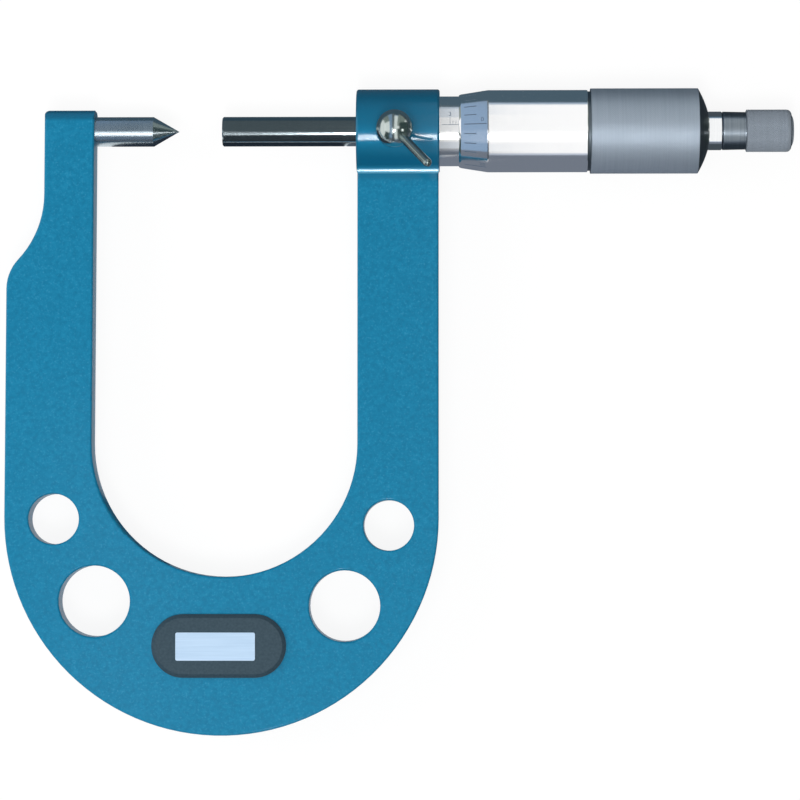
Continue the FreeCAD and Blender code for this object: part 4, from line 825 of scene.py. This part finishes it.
INNER_STRIPS = {
    "spindle_light": (MIDDLE, -0.028, -27, -7, (0.3, 0.31, 0.32), 12),
    "anvil_light": (-0.147, MIDDLE, -38, -3, (1.6, 1.6, 1.6), 12),
}
for strips, radius in ((ARCHES, ARCH_RADIUS), (INNER_STRIPS, INNER_RADIUS)):
    for name, place in strips.items():
        arch(name, *place, radius)
print("arches:", len(ARCHES) + len(INNER_STRIPS))

# %% [markdown]
# Two screens finish the room. A dark one leans in over the knob end, for the rounded ends there to
# mirror. A small bright one hangs in front of it, and the cone of the anvil mirrors it.

# %% Screens at the knob end
DARK_SCREEN = (0.66, 0.34, -0.25, 0.40, 0.0, 0.62)
TIP_SCREEN, TIP_STRENGTH = (0.38, 0.38, -0.09, -0.02, 0.27, 0.38), 3.0


def leaning(x_foot, x_top, y_low, y_high, z_foot, z_top):
    """A flat screen on which x goes evenly from its foot to its top edge as z does."""
    y, z = np.meshgrid([y_low, y_high], [z_foot, z_top], indexing="ij")
    return np.stack([x_foot + (x_top - x_foot) * (z - z_foot) / (z_top - z_foot), y, z], axis=-1)


card("screen_right", leaning(*DARK_SCREEN), glow("screen_right", MOSS))
card("tip_light", leaning(*TIP_SCREEN), glow("tip_light", (1, 1, 1), TIP_STRENGTH))
print("screens set")

# %% [markdown]
# Four lamps light the gauge. Three give soft light and are hidden from reflections, which the cards draw
# better. The narrow hub lamp is mirrored, in the clear coat of the hub, as one thin bright line. The
# room is white where it is seen, and gives less light than it shows, so that colours stay as written.

# %% Lamps and room
LAMPS = {  # place, aim, size along x and across in metres, power in watts, whether metal mirrors it
    "strip_lamp": ((-0.1085, AXIS_Y - 0.498, 1.2), (-0.1085, AXIS_Y, 0.01), (0.223, 0.27), 1.75, False),
    "soft_lamp": ((-0.55, 0.10, 0.35), (0.0, 0.0, 0.0), (0.35, 0.35), 1.2, False),
    "fill_lamp": ((-0.04, -0.16, 0.82), (0.0, 0.0, 0.0), (0.5, 0.3), 2.6, False),
    "hub_lamp": ((-0.0175, AXIS_Y - 0.465, 1.2), (-0.0005, AXIS_Y, 0.02), (0.038, 0.36), 2.2, True),
}
ROOM_LIGHT, ROOM_SEEN = 0.36, 1.0


def lamp(name, place, aim, size, power, mirrored):
    """A rectangular lamp that looks from its place to its aim, its first side along x."""
    data = bpy.data.lights.new(name, "AREA")
    data.shape = "RECTANGLE"
    data.size, data.size_y = size
    data.energy = power
    light = bpy.data.objects.new(name, data)
    bpy.context.scene.collection.objects.link(light)
    light.location = place
    light.rotation_euler = (Vector(aim) - Vector(place)).to_track_quat("-Z", "Y").to_euler()
    light.visible_glossy = mirrored


for name, look in LAMPS.items():
    lamp(name, *look)

scene = bpy.context.scene
world = bpy.data.worlds.new("room")
scene.world = world
world.use_nodes = True
tree = world.node_tree
strength = span(tree, seen_rays(tree), ROOM_LIGHT, ROOM_SEEN, 0.0, 1.0)
tree.links.new(strength, tree.nodes["Background"].inputs["Strength"])
tree.nodes["Background"].inputs["Color"].default_value = (1, 1, 1, 1)
scene.view_settings.view_transform = "Standard"

# %% [markdown]
# ## The camera
# The photograph was taken from straight above, a little to the right of the frame and below its middle,
# from about 800 mm: that is where the walls of the holes show just as much as they do there.

# %% Camera
CAMERA_PLACE, CAMERA_AIM = (0.0132, -0.0283, 0.80935), (0.00002, 0.0024, 0.00935)
LENS, SENSOR = 164.5, 36

camera = bpy.data.objects.new("camera", bpy.data.cameras.new("camera"))
scene.collection.objects.link(camera)
camera.location = CAMERA_PLACE
back = (camera.location - Vector(CAMERA_AIM)).normalized()
right = Vector((0, 1, 0)).cross(back).normalized()
camera.rotation_euler = Matrix((right, back.cross(right), back)).transposed().to_euler()
camera.data.lens = LENS
camera.data.sensor_width = SENSOR
scene.camera = camera
print("camera", [round(v, 4) for v in camera.location])
